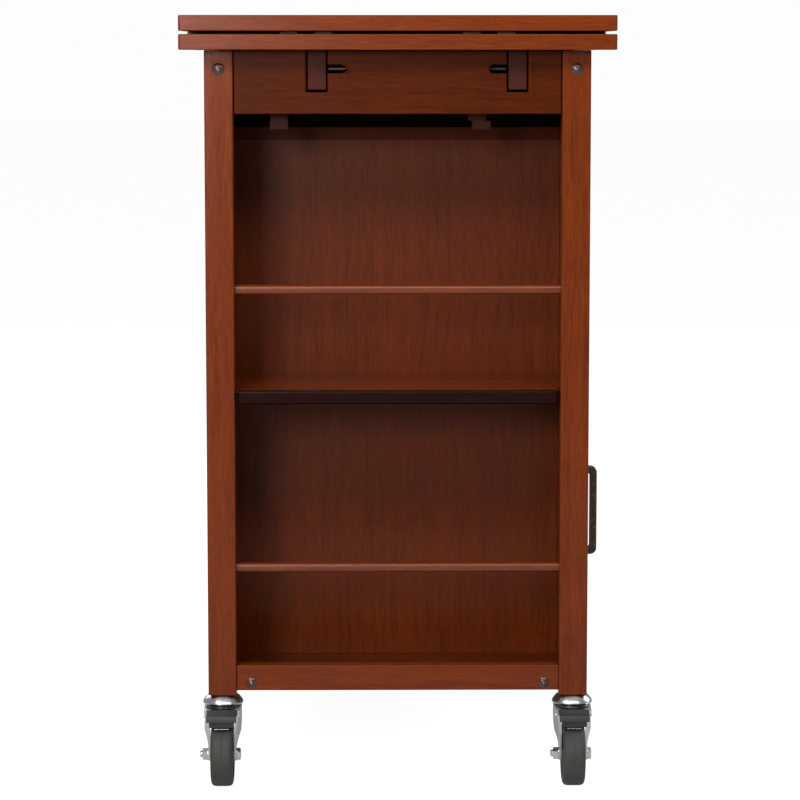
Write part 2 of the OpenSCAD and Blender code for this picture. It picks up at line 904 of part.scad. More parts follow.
// Sides and back of the drawer
module drawer_box() {
  color(end_grain)
    difference() {
      block(drawer_x, drawer_y, drawer_side_z);
      block(
        [drawer_x[0] + drawer_wall, drawer_x[1] + cut],
        [drawer_y[0] + drawer_wall, drawer_y[1] - drawer_wall],
        [drawer_side_z[0] - cut, drawer_side_z[1] + cut]
      );
      drawer_floor(joint_gap);
      for (y = drawer_y)
        block(
          [drawer_x[0] - cut, slide_end + stop_gap],
          [y - slide_groove, y + slide_groove],
          slide_z(run_gap)
        );
    }
}

// Drawer bottom in its groove, grown by a gap
module drawer_floor(gap) {
  edge = drawer_wall - drawer_floor_groove - gap;
  block(
    [drawer_x[0] + edge, drawer_x[1] - joint_gap + gap],
    [drawer_y[0] + edge, drawer_y[1] - edge],
    [drawer_floor_z[0] - gap, drawer_floor_z[1] + gap]
  );
}

// Thin bottom of the drawer
module drawer_bottom() {
  color(inner_wood)
    drawer_floor(0);
}

// Holes for one pull's two screws, through a board of the front's thickness
module pull_screws(r, depth) {
  for (side = [-1, 1])
    translate([0, side * (pull_l / 2 - pull_foot), 0])
      translate([0, 0, -depth])
        cylinder(r = r, h = depth + cut);
}

// Pull standing on the XY plane with its bar along Y, and its screws below the plane
module pull() {
  rotate([90, 0, 90])
    translate([0, 0, -pull_bar / 2])
      linear_extrude(pull_bar)
        difference() {
          translate([0, pull_out / 2 - pull_round])
            rounded(pull_l, pull_out + 2 * pull_round, pull_round);
          translate([-pull_l, -4 * pull_round])
            square([2 * pull_l, 4 * pull_round]);
          translate([0, (pull_out - pull_bar) / 2 - pull_round])
            rounded(pull_l - 2 * pull_bar, pull_out - pull_bar + 2 * pull_round, pull_inner_round);
        }
  pull_screws(pull_screw_d / 2, front_t - 2);
}

// Places a pull or its holes on the drawer front
module at_drawer_pull() {
  translate([front_x[1], drawer_mid_y, drawer_mid_z])
    rotate([0, 90, 0])
      children();
}

// Places a pull or its holes on the door, upright
module at_door_pull() {
  translate([front_x[1], door_pull_y, door_pull_z])
    rotate([90, 0, 0])
      rotate([0, 90, 0])
        children();
}

// Drawer front
module drawer_front() {
  color(leg_wood)
    difference() {
      block(front_x, drawer_front_y, drawer_front_z);
      at_drawer_pull()
        pull_screws(pull_screw_d / 2 + joint_gap, front_t + cut);
    }
}

// Pull on the drawer front
module drawer_pull() {
  color(bronze)
    at_drawer_pull()
      pull();
}

// Stiles and rails of the door
module door_frame() {
  color(leg_wood)
    difference() {
      block(front_x, door_y, door_z);
      block(
        [front_x[0] - cut, front_x[1] + cut],
        [door_y[0] + stile_w, door_y[1] - stile_w],
        [door_z[0] + stile_w, door_z[1] - stile_w]
      );
      door_panel_block(joint_gap);
      at_door_pull()
        pull_screws(pull_screw_d / 2 + joint_gap, front_t + cut);
    }
}

// Door panel in its groove, grown by a gap
module door_panel_block(gap) {
  mid = (front_x[0] + front_x[1]) / 2;
  edge = stile_w - door_groove + 0.5 - 2 * gap;
  block(
    [mid - door_panel_t / 2 - gap, mid + door_panel_t / 2 + gap],
    [door_y[0] + edge, door_y[1] - edge],
    [door_z[0] + edge, door_z[1] - edge]
  );
}

// Flat panel of the door
module door_panel() {
  color(apron_wood)
    door_panel_block(0);
}

// Pull on the door
module door_pull() {
  color(bronze)
    at_door_pull()
      pull();
}

// Pull-out leaf at the left or right end
module leaf(end) {
  color(top_wood)
    at_end(end)
      translate([0, -(top_l / 2 + leaf_inner) / 2, leaf_under])
        linear_extrude(leaf_t)
          rounded(top_w, top_l / 2 - leaf_inner, top_round);
}

// One runner under a leaf, with its stop block and the holes for its lock bolt
module runner(x, toward, shift) {
  x_range = [x - runner_w / 2, x + runner_w / 2];
  side_x = x + toward * runner_w / 2;
  front = 0.5 - end_out;
  difference() {
    union() {
      block(x_range, [front, tail_y], [runner_z, frame_top - run_gap]);
      block(x_range, [front, -leaf_inner], [runner_z, leaf_under]);
    }
    for (y = [-bolt_y, leaf_travel - bolt_y])
      rod_x(bolt_d / 2 + stop_gap, [side_x + toward, side_x - toward * bolt_travel], y, slot_z);
  }
  block(x_range, [tail_y - tail_l, tail_y], [foot_z[1], runner_z]);
  block(
    [x + shift - foot_w / 2, x + shift + foot_w / 2],
    [tail_y - tail_l, tail_y],
    foot_z
  );
}

// The two runners of a leaf
module leaf_runners(end) {
  color(end_grain)
    at_end(end) {
      runner(-runner_inner_x, 1, -foot_shift);
      runner(runner_outer_x, -1, 0);
    }
}

// Lock bolt of the inner or the outer runner at one end
module lock_bolt(x, toward, end) {
  near = x + toward * (notch_half + 1);
  color(zinc)
    at_end(end)
      rod_x(bolt_d / 2, [near, near + toward * bolt_l], -bolt_y, slot_z);
}

// Places a caster's moving parts, built about the swivel axis with the wheel towards -Y
module at_caster(side, end) {
  translate([side * leg_x, end * leg_y, 0])
    rotate([0, 0, end > 0 ? 180 : 0])
      children();
}

// Plate from a side view of outward distance and height, across a width
module side_plate(w) {
  rotate([90, 0, -90])
    translate([0, 0, -w / 2])
      linear_extrude(w)
        children();
}

// Section across one fork cheek
module cheek_section() {
  top = fork_top_w / 2;
  low = fork_axle_w / 2;
  polygon([
    [top, crown_z[1]],
    [top, cheek_bend_top],
    [low, cheek_bend_low],
    [low, cheek_end],
    [low - cheek_t, cheek_end],
    [low - cheek_t, cheek_bend_low],
    [top - cheek_t, cheek_bend_top],
    [top - cheek_t, crown_z[1]]
  ]);
}

// Side view of a fork cheek
module cheek_side() {
  polygon([
    [-cheek_back, crown_z[1]],
    [pedal_pin[0] + 6, crown_z[1]],
    [pedal_pin[0] + 6, pedal_pin[1] - 4],
    [trail + 9, axle_z + 3],
    [trail - 9, axle_z + 3],
    [-cheek_back, crown_z[0] - 4]
  ]);
  translate([trail, axle_z])
    circle(cheek_boss_r);
}

// Fork with its axle bolt
module caster_fork(side, end) {
  color(zinc)
    at_caster(side, end) {
      difference() {
        union() {
          intersection() {
            rotate([90, 0, 0])
              linear_extrude(2 * wheel_d, center = true)
                for (cheek = [-1, 1])
                  scale([cheek, 1])
                    cheek_section();
            side_plate(fork_top_w + 2)
              cheek_side();
          }
          translate([0, 0, crown_z[0]])
            cylinder(d = crown_d, h = crown_t);
        }
        translate([0, 0, crown_z[0] - cut])
          cylinder(r = stem_d / 2 + pin_gap, h = crown_t + 2 * cut);
        rod_x(axle_d / 2 + pin_gap, [-fork_top_w, fork_top_w], -trail, axle_z);
        rod_x(pedal_pin_r + pin_gap, [-fork_top_w, fork_top_w], -pedal_pin[0], pedal_pin[1]);
      }
      axle_bolt();
    }
}

// Axle bolt with its hexagonal head and nut
module axle_bolt() {
  out = fork_axle_w / 2 + joint_gap;
  rod_x(axle_d / 2, [-out - nut_l - thread_l, out + 1], -trail, axle_z);
  translate([out, -trail, axle_z])
    rotate([0, 90, 0])
      cylinder(d = nut_w, h = head_l, $fn = 6);
  translate([-out - nut_l, -trail, axle_z])
    rotate([0, 90, 0])
      cylinder(d = nut_w, h = nut_l, $fn = 6);
}

// Wheel with a rounded tread and a bore for the axle
module caster_wheel(side, end) {
  color(rubber)
    at_caster(side, end)
      translate([0, -trail, axle_z])
        rotate([0, 90, 0])
          difference() {
            rotate_extrude()
              intersection() {
                rounded(wheel_d, wheel_w, tyre_round);
                translate([0, -wheel_w])
                  square([wheel_d, 2 * wheel_w]);
              }
            cylinder(r = axle_d / 2 + pin_gap, h = 2 * wheel_w, center = true);
            for (face = [-1, 1])
              translate([0, 0, face * wheel_w / 2])
                difference() {
                  cylinder(r = rim_r, h = 2 * rim_recess, center = true);
                  cylinder(r = hub_r, h = 3 * rim_recess, center = true);
                }
          }
}

// Side view of the brake pedal: a nearly level tread with a lip, and a shoe over the tyre
module pedal_side() {
  x = pedal_pin[0];
  z = pedal_pin[1];
  polygon([
    [x - 4, z + 2],
    [x, z + 6.5],
    [x + 22, z + 4.5],
    [x + 24.5, z + 2.5],
    [x + 24.5, z - 4.5],
    [x + 22.5, z - 4.5],
    [x + 22, z + 0.5],
    [x + 15.5, z - 0.5],
    [x + 14, z - 11.5],
    [x + 9, z - 10],
    [x, z - 4.5],
    [x - 4, z - 2]
  ]);
}

// Brake pedal with its pin
module caster_pedal(side, end) {
  color(black)
    at_caster(side, end) {
      side_plate(pedal_w)
        pedal_side();
      rod_x(pedal_pin_r, [-fork_top_w / 2, fork_top_w / 2], -pedal_pin[0], pedal_pin[1]);
    }
}

main_top();
centre_strip();
leaf_glides();
leg(1, -1);  // leg_left_front
leg(-1, -1);  // leg_left_back
leg(1, 1);  // leg_right_front
leg(-1, 1);  // leg_right_back
apron_end(-1);  // apron_left
apron_end(1);  // apron_right
apron_side(1);  // apron_front
apron_side(-1);  // apron_back
centre_bearer();
rail_end(-1);  // rail_left
rail_end(1);  // rail_right
rail_side(1);  // rail_front
rail_side(-1);  // rail_back
bottom_board();
bay_shelf();
guard_rails();
partition();
runner_deck();
cupboard_boards();
panel_back();
panel_right();
panel_bay();
door_jamb();
glue_blocks();
frame_bolts();
caster_stems();
hinge_leaves_fixed();
door_catch();
drawer_runners();
leaf(-1);  // leaf_left
leaf_runners(-1);  // leaf_left_runners
leaf(1);  // leaf_right
leaf_runners(1);  // leaf_right_runners
lock_bolt(-runner_inner_x, 1, -1);  // lock_bolt_left_inner
lock_bolt(runner_outer_x, -1, -1);  // lock_bolt_left_outer
lock_bolt(-runner_inner_x, 1, 1);  // lock_bolt_right_inner
lock_bolt(runner_outer_x, -1, 1);  // lock_bolt_right_outer
drawer_front();
drawer_box();
drawer_bottom();
drawer_pull();
door_frame();
door_panel();
door_pull();
door_hinge_leaves();
caster_fork(1, -1);  // caster_fork_left_front
caster_fork(-1, -1);  // caster_fork_left_back
caster_fork(1, 1);  // caster_fork_right_front
caster_fork(-1, 1);  // caster_fork_right_back
caster_wheel(1, -1);  // caster_wheel_left_front
caster_wheel(-1, -1);  // caster_wheel_left_back
caster_wheel(1, 1);  // caster_wheel_right_front
caster_wheel(-1, 1);  // caster_wheel_right_back
caster_pedal(1, -1);  // caster_pedal_left_front
caster_pedal(-1, -1);  // caster_pedal_left_back
caster_pedal(1, 1);  // caster_pedal_right_front
caster_pedal(-1, 1);  // caster_pedal_right_back
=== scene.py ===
import json
import math

import bmesh
import bpy
from bpy.props import FloatProperty, FloatVectorProperty, IntProperty, PointerProperty
from mathutils import Matrix, Vector


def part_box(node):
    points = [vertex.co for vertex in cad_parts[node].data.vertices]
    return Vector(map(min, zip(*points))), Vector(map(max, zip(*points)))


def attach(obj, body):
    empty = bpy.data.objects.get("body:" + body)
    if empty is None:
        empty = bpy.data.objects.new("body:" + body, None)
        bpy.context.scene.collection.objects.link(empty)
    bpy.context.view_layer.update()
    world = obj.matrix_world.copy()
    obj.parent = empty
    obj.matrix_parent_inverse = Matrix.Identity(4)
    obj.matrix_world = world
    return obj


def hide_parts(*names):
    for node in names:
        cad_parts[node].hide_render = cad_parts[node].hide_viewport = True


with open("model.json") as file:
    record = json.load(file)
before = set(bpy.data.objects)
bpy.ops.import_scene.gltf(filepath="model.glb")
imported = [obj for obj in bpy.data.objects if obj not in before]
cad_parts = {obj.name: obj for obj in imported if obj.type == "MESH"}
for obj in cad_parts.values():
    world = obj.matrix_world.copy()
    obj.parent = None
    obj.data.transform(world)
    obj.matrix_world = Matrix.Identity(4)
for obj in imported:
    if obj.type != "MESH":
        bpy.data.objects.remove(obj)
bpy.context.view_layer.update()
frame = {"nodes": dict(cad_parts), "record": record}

bl_info = {
    "name": "Kitchen cart",
    "version": (1, 0, 0),
    "blender": (4, 5, 0),
    "location": "3D View > Sidebar > Cart",
    "description": "Dresses the packed kitchen cart with its finishes and fine pieces, and lights it",
    "category": "Object",
}

# Each light's name, place, target, and width and height, in metres.
LIGHTS = (
    ("key", (-0.95, -1.4, 1.8), (-0.1, -0.3, 0.7), (1.0, 0.8)),
    ("sheen", (-1.0, -3.45, 1.4), (-0.2, -0.3, 0.8), (0.8, 0.8)),
    ("front", (0.1, -1.9, 2.1), (0, -0.3, 1.7), (3.0, 0.6)),
    ("top", (0, 0, 2.7), (0, 0, 0), (3.0, 3.0)),
    ("back", (-1.8, 2.6, 1.8), (0, 0.1, 0.5), (1.6, 1.4)),
    ("side", (2.7, 0.9, 1.7), (0.1, 0.1, 0.5), (1.4, 1.2)),
)
MM = 0.001
# Along Z: the length of a hinge, and its screws above and below its middle.
HINGE_LENGTH = 50 * MM
HINGE_SCREWS = (-16 * MM, 0, 16 * MM)
# Along X: from a hinge's free edge to its screws. Along Y: the faces of the fixed and the swung plates.
HINGE_INSET = 7 * MM
HINGE_FACES = (288.5 * MM, 288.1 * MM)
# Y and Z of the strike plate's screws.
STRIKE_SCREWS = ((-91.5 * MM, 432.5 * MM), (-67.5 * MM, 432.5 * MM))
# How far flush heads stand proud, and the diameter and height of the pan heads that hold the pulls.
FLUSH = 0.15 * MM
PAN_HEAD = (7.4 * MM, 1.8 * MM)
# From a pull's end to the middle of its foot.
PULL_FOOT = 4.5 * MM
GUARD_HEIGHT = 11.5 * MM
# Place in a caster's own frame of the pedal's pin: out from the swivel axis, and above the floor.
PEDAL_PIN = (28, 85)
CORNERS = ("left_front", "left_back", "right_front", "right_back")
BODY_OF_NODE = {
    node: body
    for body, nodes in frame["record"]["behaviour"]["bodies"].items()
    for node in nodes
}


def linear(hex_colour):
    """An sRGB hex colour as linear red, green and blue."""
    channels = [int(hex_colour[i:i + 2], 16) / 255 for i in (1, 3, 5)]
    return tuple(c / 12.92 if c <= 0.04045 else ((c + 0.055) / 1.055) ** 2.4 for c in channels)


def size(name, description, millimetres):
    """A length that a user may change, given in millimetres."""
    return FloatProperty(
        name=name, description=description, default=millimetres * MM, min=0, subtype="DISTANCE", unit="LENGTH"
    )


def colour(name, description, hex_colour):
    """A colour that a user may change."""
    return FloatVectorProperty(
        name=name, description=description, default=linear(hex_colour), size=3, min=0, max=1, subtype="COLOR"
    )


def amount(name, description, value):
    """A plain number that a user may change."""
    return FloatProperty(name=name, description=description, default=value, min=0)


class CartWood(bpy.types.PropertyGroup):
    """Stain, grain and eased edges of the wood"""

    light: colour("Light stain", "Stain on the pale bands of the grain", "#963e0e")
    mid: colour("Middle stain", "Stain on most of the wood", "#863606")
    dark: colour("Dark stain", "Stain in the dark bands of the grain", "#6e2804")
    pore: colour("Pores", "Stain gathered in the pores", "#2c0f03")
    runner: colour("Runner stain", "Thin brown stain on the leaf runners", "#50261c")
    bare: colour("Inside wood", "Unstained wood of the drawer box", "#b98f64")
    nosing: colour("Shelf nosing", "Dark stain on the front of the bay's shelf", "#260c0a")
    figure: size("Figure width", "Width of the bands in the grain", 9)
    fibre: size("Fibre width", "Width of the fine fibres in the grain", 1.6)
    pore_width: size("Pore width", "Width of the pores", 0.8)
    streak: amount("Streak length", "Length of a grain feature for each unit of its width", 22)
    top_edge: size("Worktop easing", "Rounding of the edges of the top and the leaves", 1.4)
    frame_edge: size("Frame easing", "Rounding of the edges of the legs, aprons and rails", 0.9)
    apron_edge: size("Apron easing", "Rounding of the upright edges of the aprons and their notches", 2.6)
    shelf_edge: size("Shelf nosing", "Rounding of the long edges of the bay's shelf", 3)
    guard_edge: size("Guard rail rounding", "Rounding of the long edges of the guard rails", 5)
    board_edge: size("Board easing", "Rounding of the edges of the panels and inner boards", 0.5)


class CartMetal(bpy.types.PropertyGroup):
    """Colours of the pulls, hinges, caps, bolts and casters"""

    bronze: colour("Bronze", "Dark bronze lacquer of the pulls and hinges", "#4a403a")
    # Pale bronze for the random worn patches; blended into the bronze it also colours the rounded edge strips of the
    # pulls, where it is a painted highlight as well as wear.
    worn_and_highlight: colour("Worn bronze", "Bronze that shows on the rubbed edges", "#a08c7a")
    cap: colour("Caps", "Brown enamel of the domed caps", "#522a1d")
    steel: colour("Bolt steel", "Blackened steel of the lock bolts", "#4f4c47")
    zinc: colour("Zinc", "Bright zinc plating of the casters", "#d6d8da")
    screw: size("Screw head", "Diameter of the countersunk screw heads", 6.4)


class CartCaster(bpy.types.PropertyGroup):
    """Shape of the casters beyond what the frame gives"""

    fork_top: size("Fork top", "Width across the fork under the bell", 43)
    fork_low: size("Fork low", "Width across the fork at the axle", 33)
    cheek: size("Cheek", "Thickness of the fork's cheeks", 2.9)
    cheek_rib: size("Cheek rib", "Height of the rib pressed into each cheek", 0.8)
    nut: size("Nut", "Width across the flats of the axle nut", 13)
    ribs: IntProperty(name="Wheel ribs", description="Ribs round each face of a wheel", default=10, min=3)
    tread_ribs: IntProperty(name="Pedal ribs", description="Grip ribs on each pedal", default=4, min=1)
    tyre: colour("Tyre", "Rubber of the tyres", "#494844")
    core: colour("Wheel core", "Plastic of the wheel cores", "#4c4c4b")
    pedal: colour("Pedal", "Plastic of the brake pedals", "#3f4041")


class CartStage(bpy.types.PropertyGroup):
    """Floor, lights and camera"""

    floor: colour("Floor", "Pale studio floor", "#c0c0be")
    glow: amount("Floor glow", "Light that lifts the floor towards white", 0.95)
    mirrored: amount("Mirrored glow", "Part of the glow that shiny metal mirrors", 0.32)
    key: amount("Key light", "Power of the light on the left", 6)
    sheen: amount("Sheen light", "Power of the light beside the camera", 35)
    front: amount("Front light", "Power of the wide light above the front", 26)
    top: amount("Top light", "Power of the wide light overhead", 6)
    back: amount("Back light", "Power of the light behind the cart", 24)
    side: amount("Side light", "Power of the light on the door's side", 22)
    sky: amount("Room light", "Strength of the light from all sides", 0.05)
    walls: amount("Walls", "Strength of the pale walls that shiny metal mirrors", 0.3)
    distance: size("Camera distance", "Distance from the camera to the legs' end faces", 3217)
    height: size("Camera height", "Height of the camera above the floor", 861)
    aside: size("Camera aside", "How far the camera stands to the back's side of the middle", 28.7)
    aim: size("Camera aim", "Height on the legs' end faces at which the camera points", 512)
    rise: amount("Camera rise", "Part of the frame by which the picture is shifted down", 0.06)
    lens: amount("Lens", "Focal length in millimetres on a 36 mm frame", 125.5)


def new_material(name):
    """An empty node material, its tree and its shader."""
    material = bpy.data.materials.new(name)
    material.use_nodes = True
    tree = material.node_tree
    shader = next(n for n in tree.nodes if n.type == "BSDF_PRINCIPLED")
    return material, tree, shader


def add(tree, kind, inputs=None, **settings):
    """Adds a node with its settings, and sets or links its inputs."""
    node = tree.nodes.new(kind)
    for name, value in settings.items():
        setattr(node, name, value)
    join(tree, node, inputs or {})
    return node


def join(tree, node, inputs):
    """Sets the inputs of a node, or links them where the value is a socket."""
    for key, value in inputs.items():
        if isinstance(value, bpy.types.NodeSocket):
            tree.links.new(value, node.inputs[key])
        else:
            node.inputs[key].default_value = value


def rgba(value):
    """A colour with full cover."""
    return (*value, 1.0)


def speckled(name, scale, detail):
    """An empty material, its tree and shader, its place in object space and a noise there."""
    material, tree, shader = new_material(name)
    place = add(tree, "ShaderNodeTexCoord").outputs["Object"]
    noise = add(tree, "ShaderNodeTexNoise", {"Vector": place, "Scale": scale, "Detail": detail})
    return material, tree, shader, place, noise.outputs["Fac"]


def toned(tree, base, noise, spread):
    """A colour that a noise makes darker and lighter by up to the spread."""
    low, high = spread
    tone = add(
        tree, "ShaderNodeMapRange", {"Value": noise, "From Min": 0.3, "From Max": 0.7, "To Min": low, "To Max": high}
    )
    return add(tree, "ShaderNodeVectorMath", {0: base, "Scale": tone.outputs[0]}, operation="SCALE").outputs[0]


def wood_finish(name, grain, stain, pore, gloss=0.22, depth=1.0, shine=0.3, coat=0.2):
    """Stained hardwood under semi-gloss lacquer, with its grain along one axis.

    Hardwood with a reddish walnut stain, sanded, stained and sprayed with lacquer. The eye sees
    soft bands and fine streaks along the grain, small dark pores, and a smooth satin sheen with
    a faint orange peel.
    """
    wood = bpy.context.scene.cart_wood
    material, tree, shader = new_material(name)
    axis = "XYZ".index(grain)

    place = add(tree, "ShaderNodeTexCoord").outputs["Object"]
    board = add(tree, "ShaderNodeAttribute", attribute_name="board").outputs["Fac"]
    shift = add(tree, "ShaderNodeVectorMath", {0: board, 1: (1.7, 2.3, 3.1)}, operation="MULTIPLY")
    place = add(tree, "ShaderNodeVectorMath", {0: place, 1: shift.outputs[0]}, operation="ADD").outputs[0]
    wander = add(tree, "ShaderNodeTexNoise", {"Vector": place, "Scale": 7.0, "Detail": 1.0})
    wander = add(tree, "ShaderNodeVectorMath", {0: wander.outputs["Color"], 1: (0.5, 0.5, 0.5)}, operation="SUBTRACT")
    wander = add(tree, "ShaderNodeVectorMath", {0: wander.outputs[0], "Scale": 0.016}, operation="SCALE")
    place = add(tree, "ShaderNodeVectorMath", {0: place, 1: wander.outputs[0]}, operation="ADD").outputs[0]

    def streaks(width, detail):
        """A noise that is drawn out along the grain."""
        scale = [1 / width] * 3
        scale[axis] /= wood.streak
        drawn = add(tree, "ShaderNodeMapping", {"Vector": place, "Scale": scale}).outputs[0]
        noise = add(tree, "ShaderNodeTexNoise", {"Vector": drawn, "Scale": 1.0, "Detail": detail})
        return noise.outputs["Fac"]

    figure = streaks(wood.figure, 3.0)
    fibre = streaks(wood.fibre, 2.0)
    pores = add(
        tree, "ShaderNodeMapRange",
        {"Value": streaks(wood.pore_width, 0.0), "From Min": 0.56, "From Max": 0.72, "To Min": 0.0, "To Max": 0.34}
    )
    blotch = add(tree, "ShaderNodeTexNoise", {"Vector": place, "Scale": 14.0, "Detail": 2.0})

    bands = add(tree, "ShaderNodeMix", {"Factor": 0.55, 2: figure, 3: fibre})
    ramp = add(tree, "ShaderNodeValToRGB", {"Fac": bands.outputs[0]})
    low, middle, high = stain
    ramp.color_ramp.elements[0].position = 0.28
    ramp.color_ramp.elements[0].color = rgba(low)
    ramp.color_ramp.elements[1].position = 0.72
    ramp.color_ramp.elements[1].color = rgba(high)
    ramp.color_ramp.elements.new(0.5).color = rgba(middle)
    stained = toned(tree, ramp.outputs["Color"], blotch.outputs["Fac"], (0.93, 1.07))
    base = add(tree, "ShaderNodeMix", {"Factor": pores.outputs[0], 6: stained, 7: rgba(pore)}, data_type="RGBA")
    sheen = add(
        tree, "ShaderNodeMapRange",
        {"Value": fibre, "From Min": 0.3, "From Max": 0.7, "To Min": gloss, "To Max": gloss + 0.08}
    )
    peel = add(tree, "ShaderNodeTexNoise", {"Vector": place, "Scale": 380.0, "Detail": 1.0})
    height = add(tree, "ShaderNodeMix", {"Factor": 0.45, 2: fibre, 3: peel.outputs["Fac"]})
    bump = add(tree, "ShaderNodeBump", {"Height": height.outputs[0], "Strength": 0.35, "Distance": 0.00025 * depth})
    join(tree, shader, {
        "Base Color": base.outputs[2], "Roughness": sheen.outputs[0], "IOR": 1.45, "Specular IOR Level": shine,
        "Coat Weight": shine * coat, "Coat Roughness": 0.16, "Normal": bump.outputs[0],
    })
    return material


def felt_finish(name, base):
    """Pressed wool felt in a thin sheet: matt, greyish brown, with short fibres that scatter light."""
    material, tree, shader, _, fluff = speckled(name, 900.0, 3.0)
    ramp = add(tree, "ShaderNodeValToRGB", {"Fac": fluff})
    ramp.color_ramp.elements[0].position = 0.3
    ramp.color_ramp.elements[0].color = rgba([c * 0.65 for c in base])
    ramp.color_ramp.elements[1].position = 0.7
    ramp.color_ramp.elements[1].color = rgba(base)
    bump = add(tree, "ShaderNodeBump", {"Height": fluff, "Strength": 0.6, "Distance": 0.0004})
    join(tree, shader, {
        "Base Color": ramp.outputs["Color"], "Roughness": 0.95, "Sheen Weight": 0.4, "Normal": bump.outputs[0],
    })
    return material


def bronze_finish(name, base, worn_and_highlight):
    """Dark bronze lacquer on cast metal: a brown-black satin skin that is rubbed paler in patches."""
    material, tree, shader, place, rub = speckled(name, 160.0, 3.0)
    rub = add(
        tree, "ShaderNodeMapRange", {"Value": rub, "From Min": 0.52, "From Max": 0.78, "To Min": 0.0, "To Max": 0.5}
    )
    mixed = add(tree, "ShaderNodeMix", {"Factor": rub.outputs[0], 6: rgba(base), 7: rgba(worn_and_highlight)}, data_type="RGBA")
    grain = add(tree, "ShaderNodeTexNoise", {"Vector": place, "Scale": 1400.0, "Detail": 1.0})
    bump = add(tree, "ShaderNodeBump", {"Height": grain.outputs["Fac"], "Strength": 0.15, "Distance": 0.0001})
    join(tree, shader, {
        "Base Color": mixed.outputs[2], "Metallic": 0.75, "Roughness": 0.36, "Normal": bump.outputs[0],
    })
    return material


def steel_finish(name, base, roughness, spangle=0.06):
    """Plated or polished steel: a bright metal skin with faint cloudy patches from the bath."""
    material, tree, shader, _, cloud = speckled(name, 240.0, 3.0)
    rough = add(
        tree, "ShaderNodeMapRange",
        {"Value": cloud, "From Min": 0.3, "From Max": 0.7, "To Min": roughness, "To Max": roughness + spangle}
    )
    join(tree, shader, {
        "Base Color": toned(tree, base, cloud, (0.9, 1.0)), "Metallic": 1.0, "Roughness": rough.outputs[0],
    })
    return material


def moulded_finish(name, base, roughness, grit):
    """Moulded rubber or plastic: a dark even body with the fine texture of the mould."""
    material, tree, shader, place, skin = speckled(name, 1 / grit, 2.0)
    dust = add(tree, "ShaderNodeTexNoise", {"Vector": place, "Scale": 60.0, "Detail": 3.0})
    bump = add(tree, "ShaderNodeBump", {"Height": skin, "Strength": 0.4, "Distance": 0.0002})
    join(tree, shader, {
        "Base Color": toned(tree, base, dust.outputs["Fac"], (0.85, 1.15)), "Roughness": roughness,
        "Normal": bump.outputs[0],
    })
    return material


def enamel_finish(name, base):
    """Baked enamel on a stamped steel cap: glossy brown with a slight orange peel."""
    material, tree, shader, _, peel = speckled(name, 900.0, 1.0)
    bump = add(tree, "ShaderNodeBump", {"Height": peel, "Strength": 0.1, "Distance": 0.0001})
    join(tree, shader, {
        "Base Color": toned(tree, base, peel, (0.9, 1.1)), "Roughness": 0.3, "Coat Weight": 0.6,
        "Coat Roughness": 0.08, "Normal": bump.outputs[0],
    })
    return material


FINISHES = {}


def finish(name):
    """The material of that name, made when it is first asked for."""
    if name not in FINISHES:
        FINISHES[name] = make_finish(name)
    return FINISHES[name]


def make_finish(name):
    """Makes one material. The last letter of a wood's name is the axis of its grain."""
    wood = bpy.context.scene.cart_wood
    metal = bpy.context.scene.cart_metal
    caster = bpy.context.scene.cart_caster
    stains = (wood.light, wood.mid, wood.dark, wood.nosing, wood.runner, wood.bare)
    light, mid, dark, nosing, runner, bare = (Vector(c) for c in stains)
    woods = {
        "worktop": {"stain": (dark.lerp(mid, 0.4), mid.lerp(light, 0.3), light)},
        "frame": {"stain": (dark, mid, light)},
        "guard": {"stain": (dark, mid, light), "gloss": 0.3, "depth": 0.4, "shine": 0.5, "coat": 0.8},
        "apron": {"stain": (dark * 0.46, mid * 0.46, mid * 0.6), "gloss": 0.28, "shine": 0.12},
        "nosing": {"stain": (nosing * 0.8, nosing, nosing * 1.2), "shine": 0.12},
        "panel": {"stain": (dark * 0.66, mid * 0.68, mid * 0.85), "gloss": 0.34, "depth": 1.6, "shine": 0.25},
        "runner": {"stain": (runner * 0.7, runner, runner * 1.25), "gloss": 0.4, "shine": 0.12},
        "bare": {"stain": (bare * 0.75, bare, bare * 1.15), "pore": bare * 0.4, "gloss": 0.45},
    }
    kind, _, axis = name.rpartition("_")
    if kind in woods:
        return wood_finish(name, axis, **{"pore": wood.pore, **woods[kind]})
    others = {
        "felt": (felt_finish, linear("#9c8574")),
        "bronze": (bronze_finish, metal.bronze, metal.worn_and_highlight),
        # Paler bronze on the pulls' rounded edge strips and on the hinge and strike screws: a painted highlight,
        # partly standing for real wear.
        "bronze_edge": (bronze_finish, Vector(metal.bronze).lerp(Vector(metal.worn_and_highlight), 0.6), metal.worn_and_highlight),
        "cap_enamel": (enamel_finish, metal.cap),
        "bolt_steel": (steel_finish, metal.steel, 0.35),
        "zinc": (steel_finish, metal.zinc, 0.2),
        "chrome": (steel_finish, metal.zinc, 0.2, 0.05),
        "tyre": (moulded_finish, caster.tyre, 0.62, 0.0009),
        "wheel_core": (moulded_finish, caster.core, 0.45, 0.0006),
        "pedal_plastic": (moulded_finish, caster.pedal, 0.48, 0.0007),
        "catch_plastic": (moulded_finish, linear("#2a2624"), 0.4, 0.0007),
    }
    maker, *values = others[name]
    return maker(name, *values)


def object_of(mesh, name):
    """A new object with that mesh, in the scene."""
    piece = bpy.data.objects.new(name, mesh)
    bpy.context.scene.collection.objects.link(piece)
    return piece


def settle(piece):
    """Turns what the modifiers give into the piece's own mesh."""
    graph = bpy.context.evaluated_depsgraph_get()
    mesh = bpy.data.meshes.new_from_object(piece.evaluated_get(graph))
    piece.modifiers.clear()
    piece.data = mesh
    return piece


def smoothed(piece, degrees=32):
    """Smooth shading, with an edge kept sharp where its faces turn by more than this."""
    mesh = piece.data
    mesh.polygons.foreach_set("use_smooth", [True] * len(mesh.polygons))
    mesh.set_sharp_from_angle(angle=math.radians(degrees))
    return piece


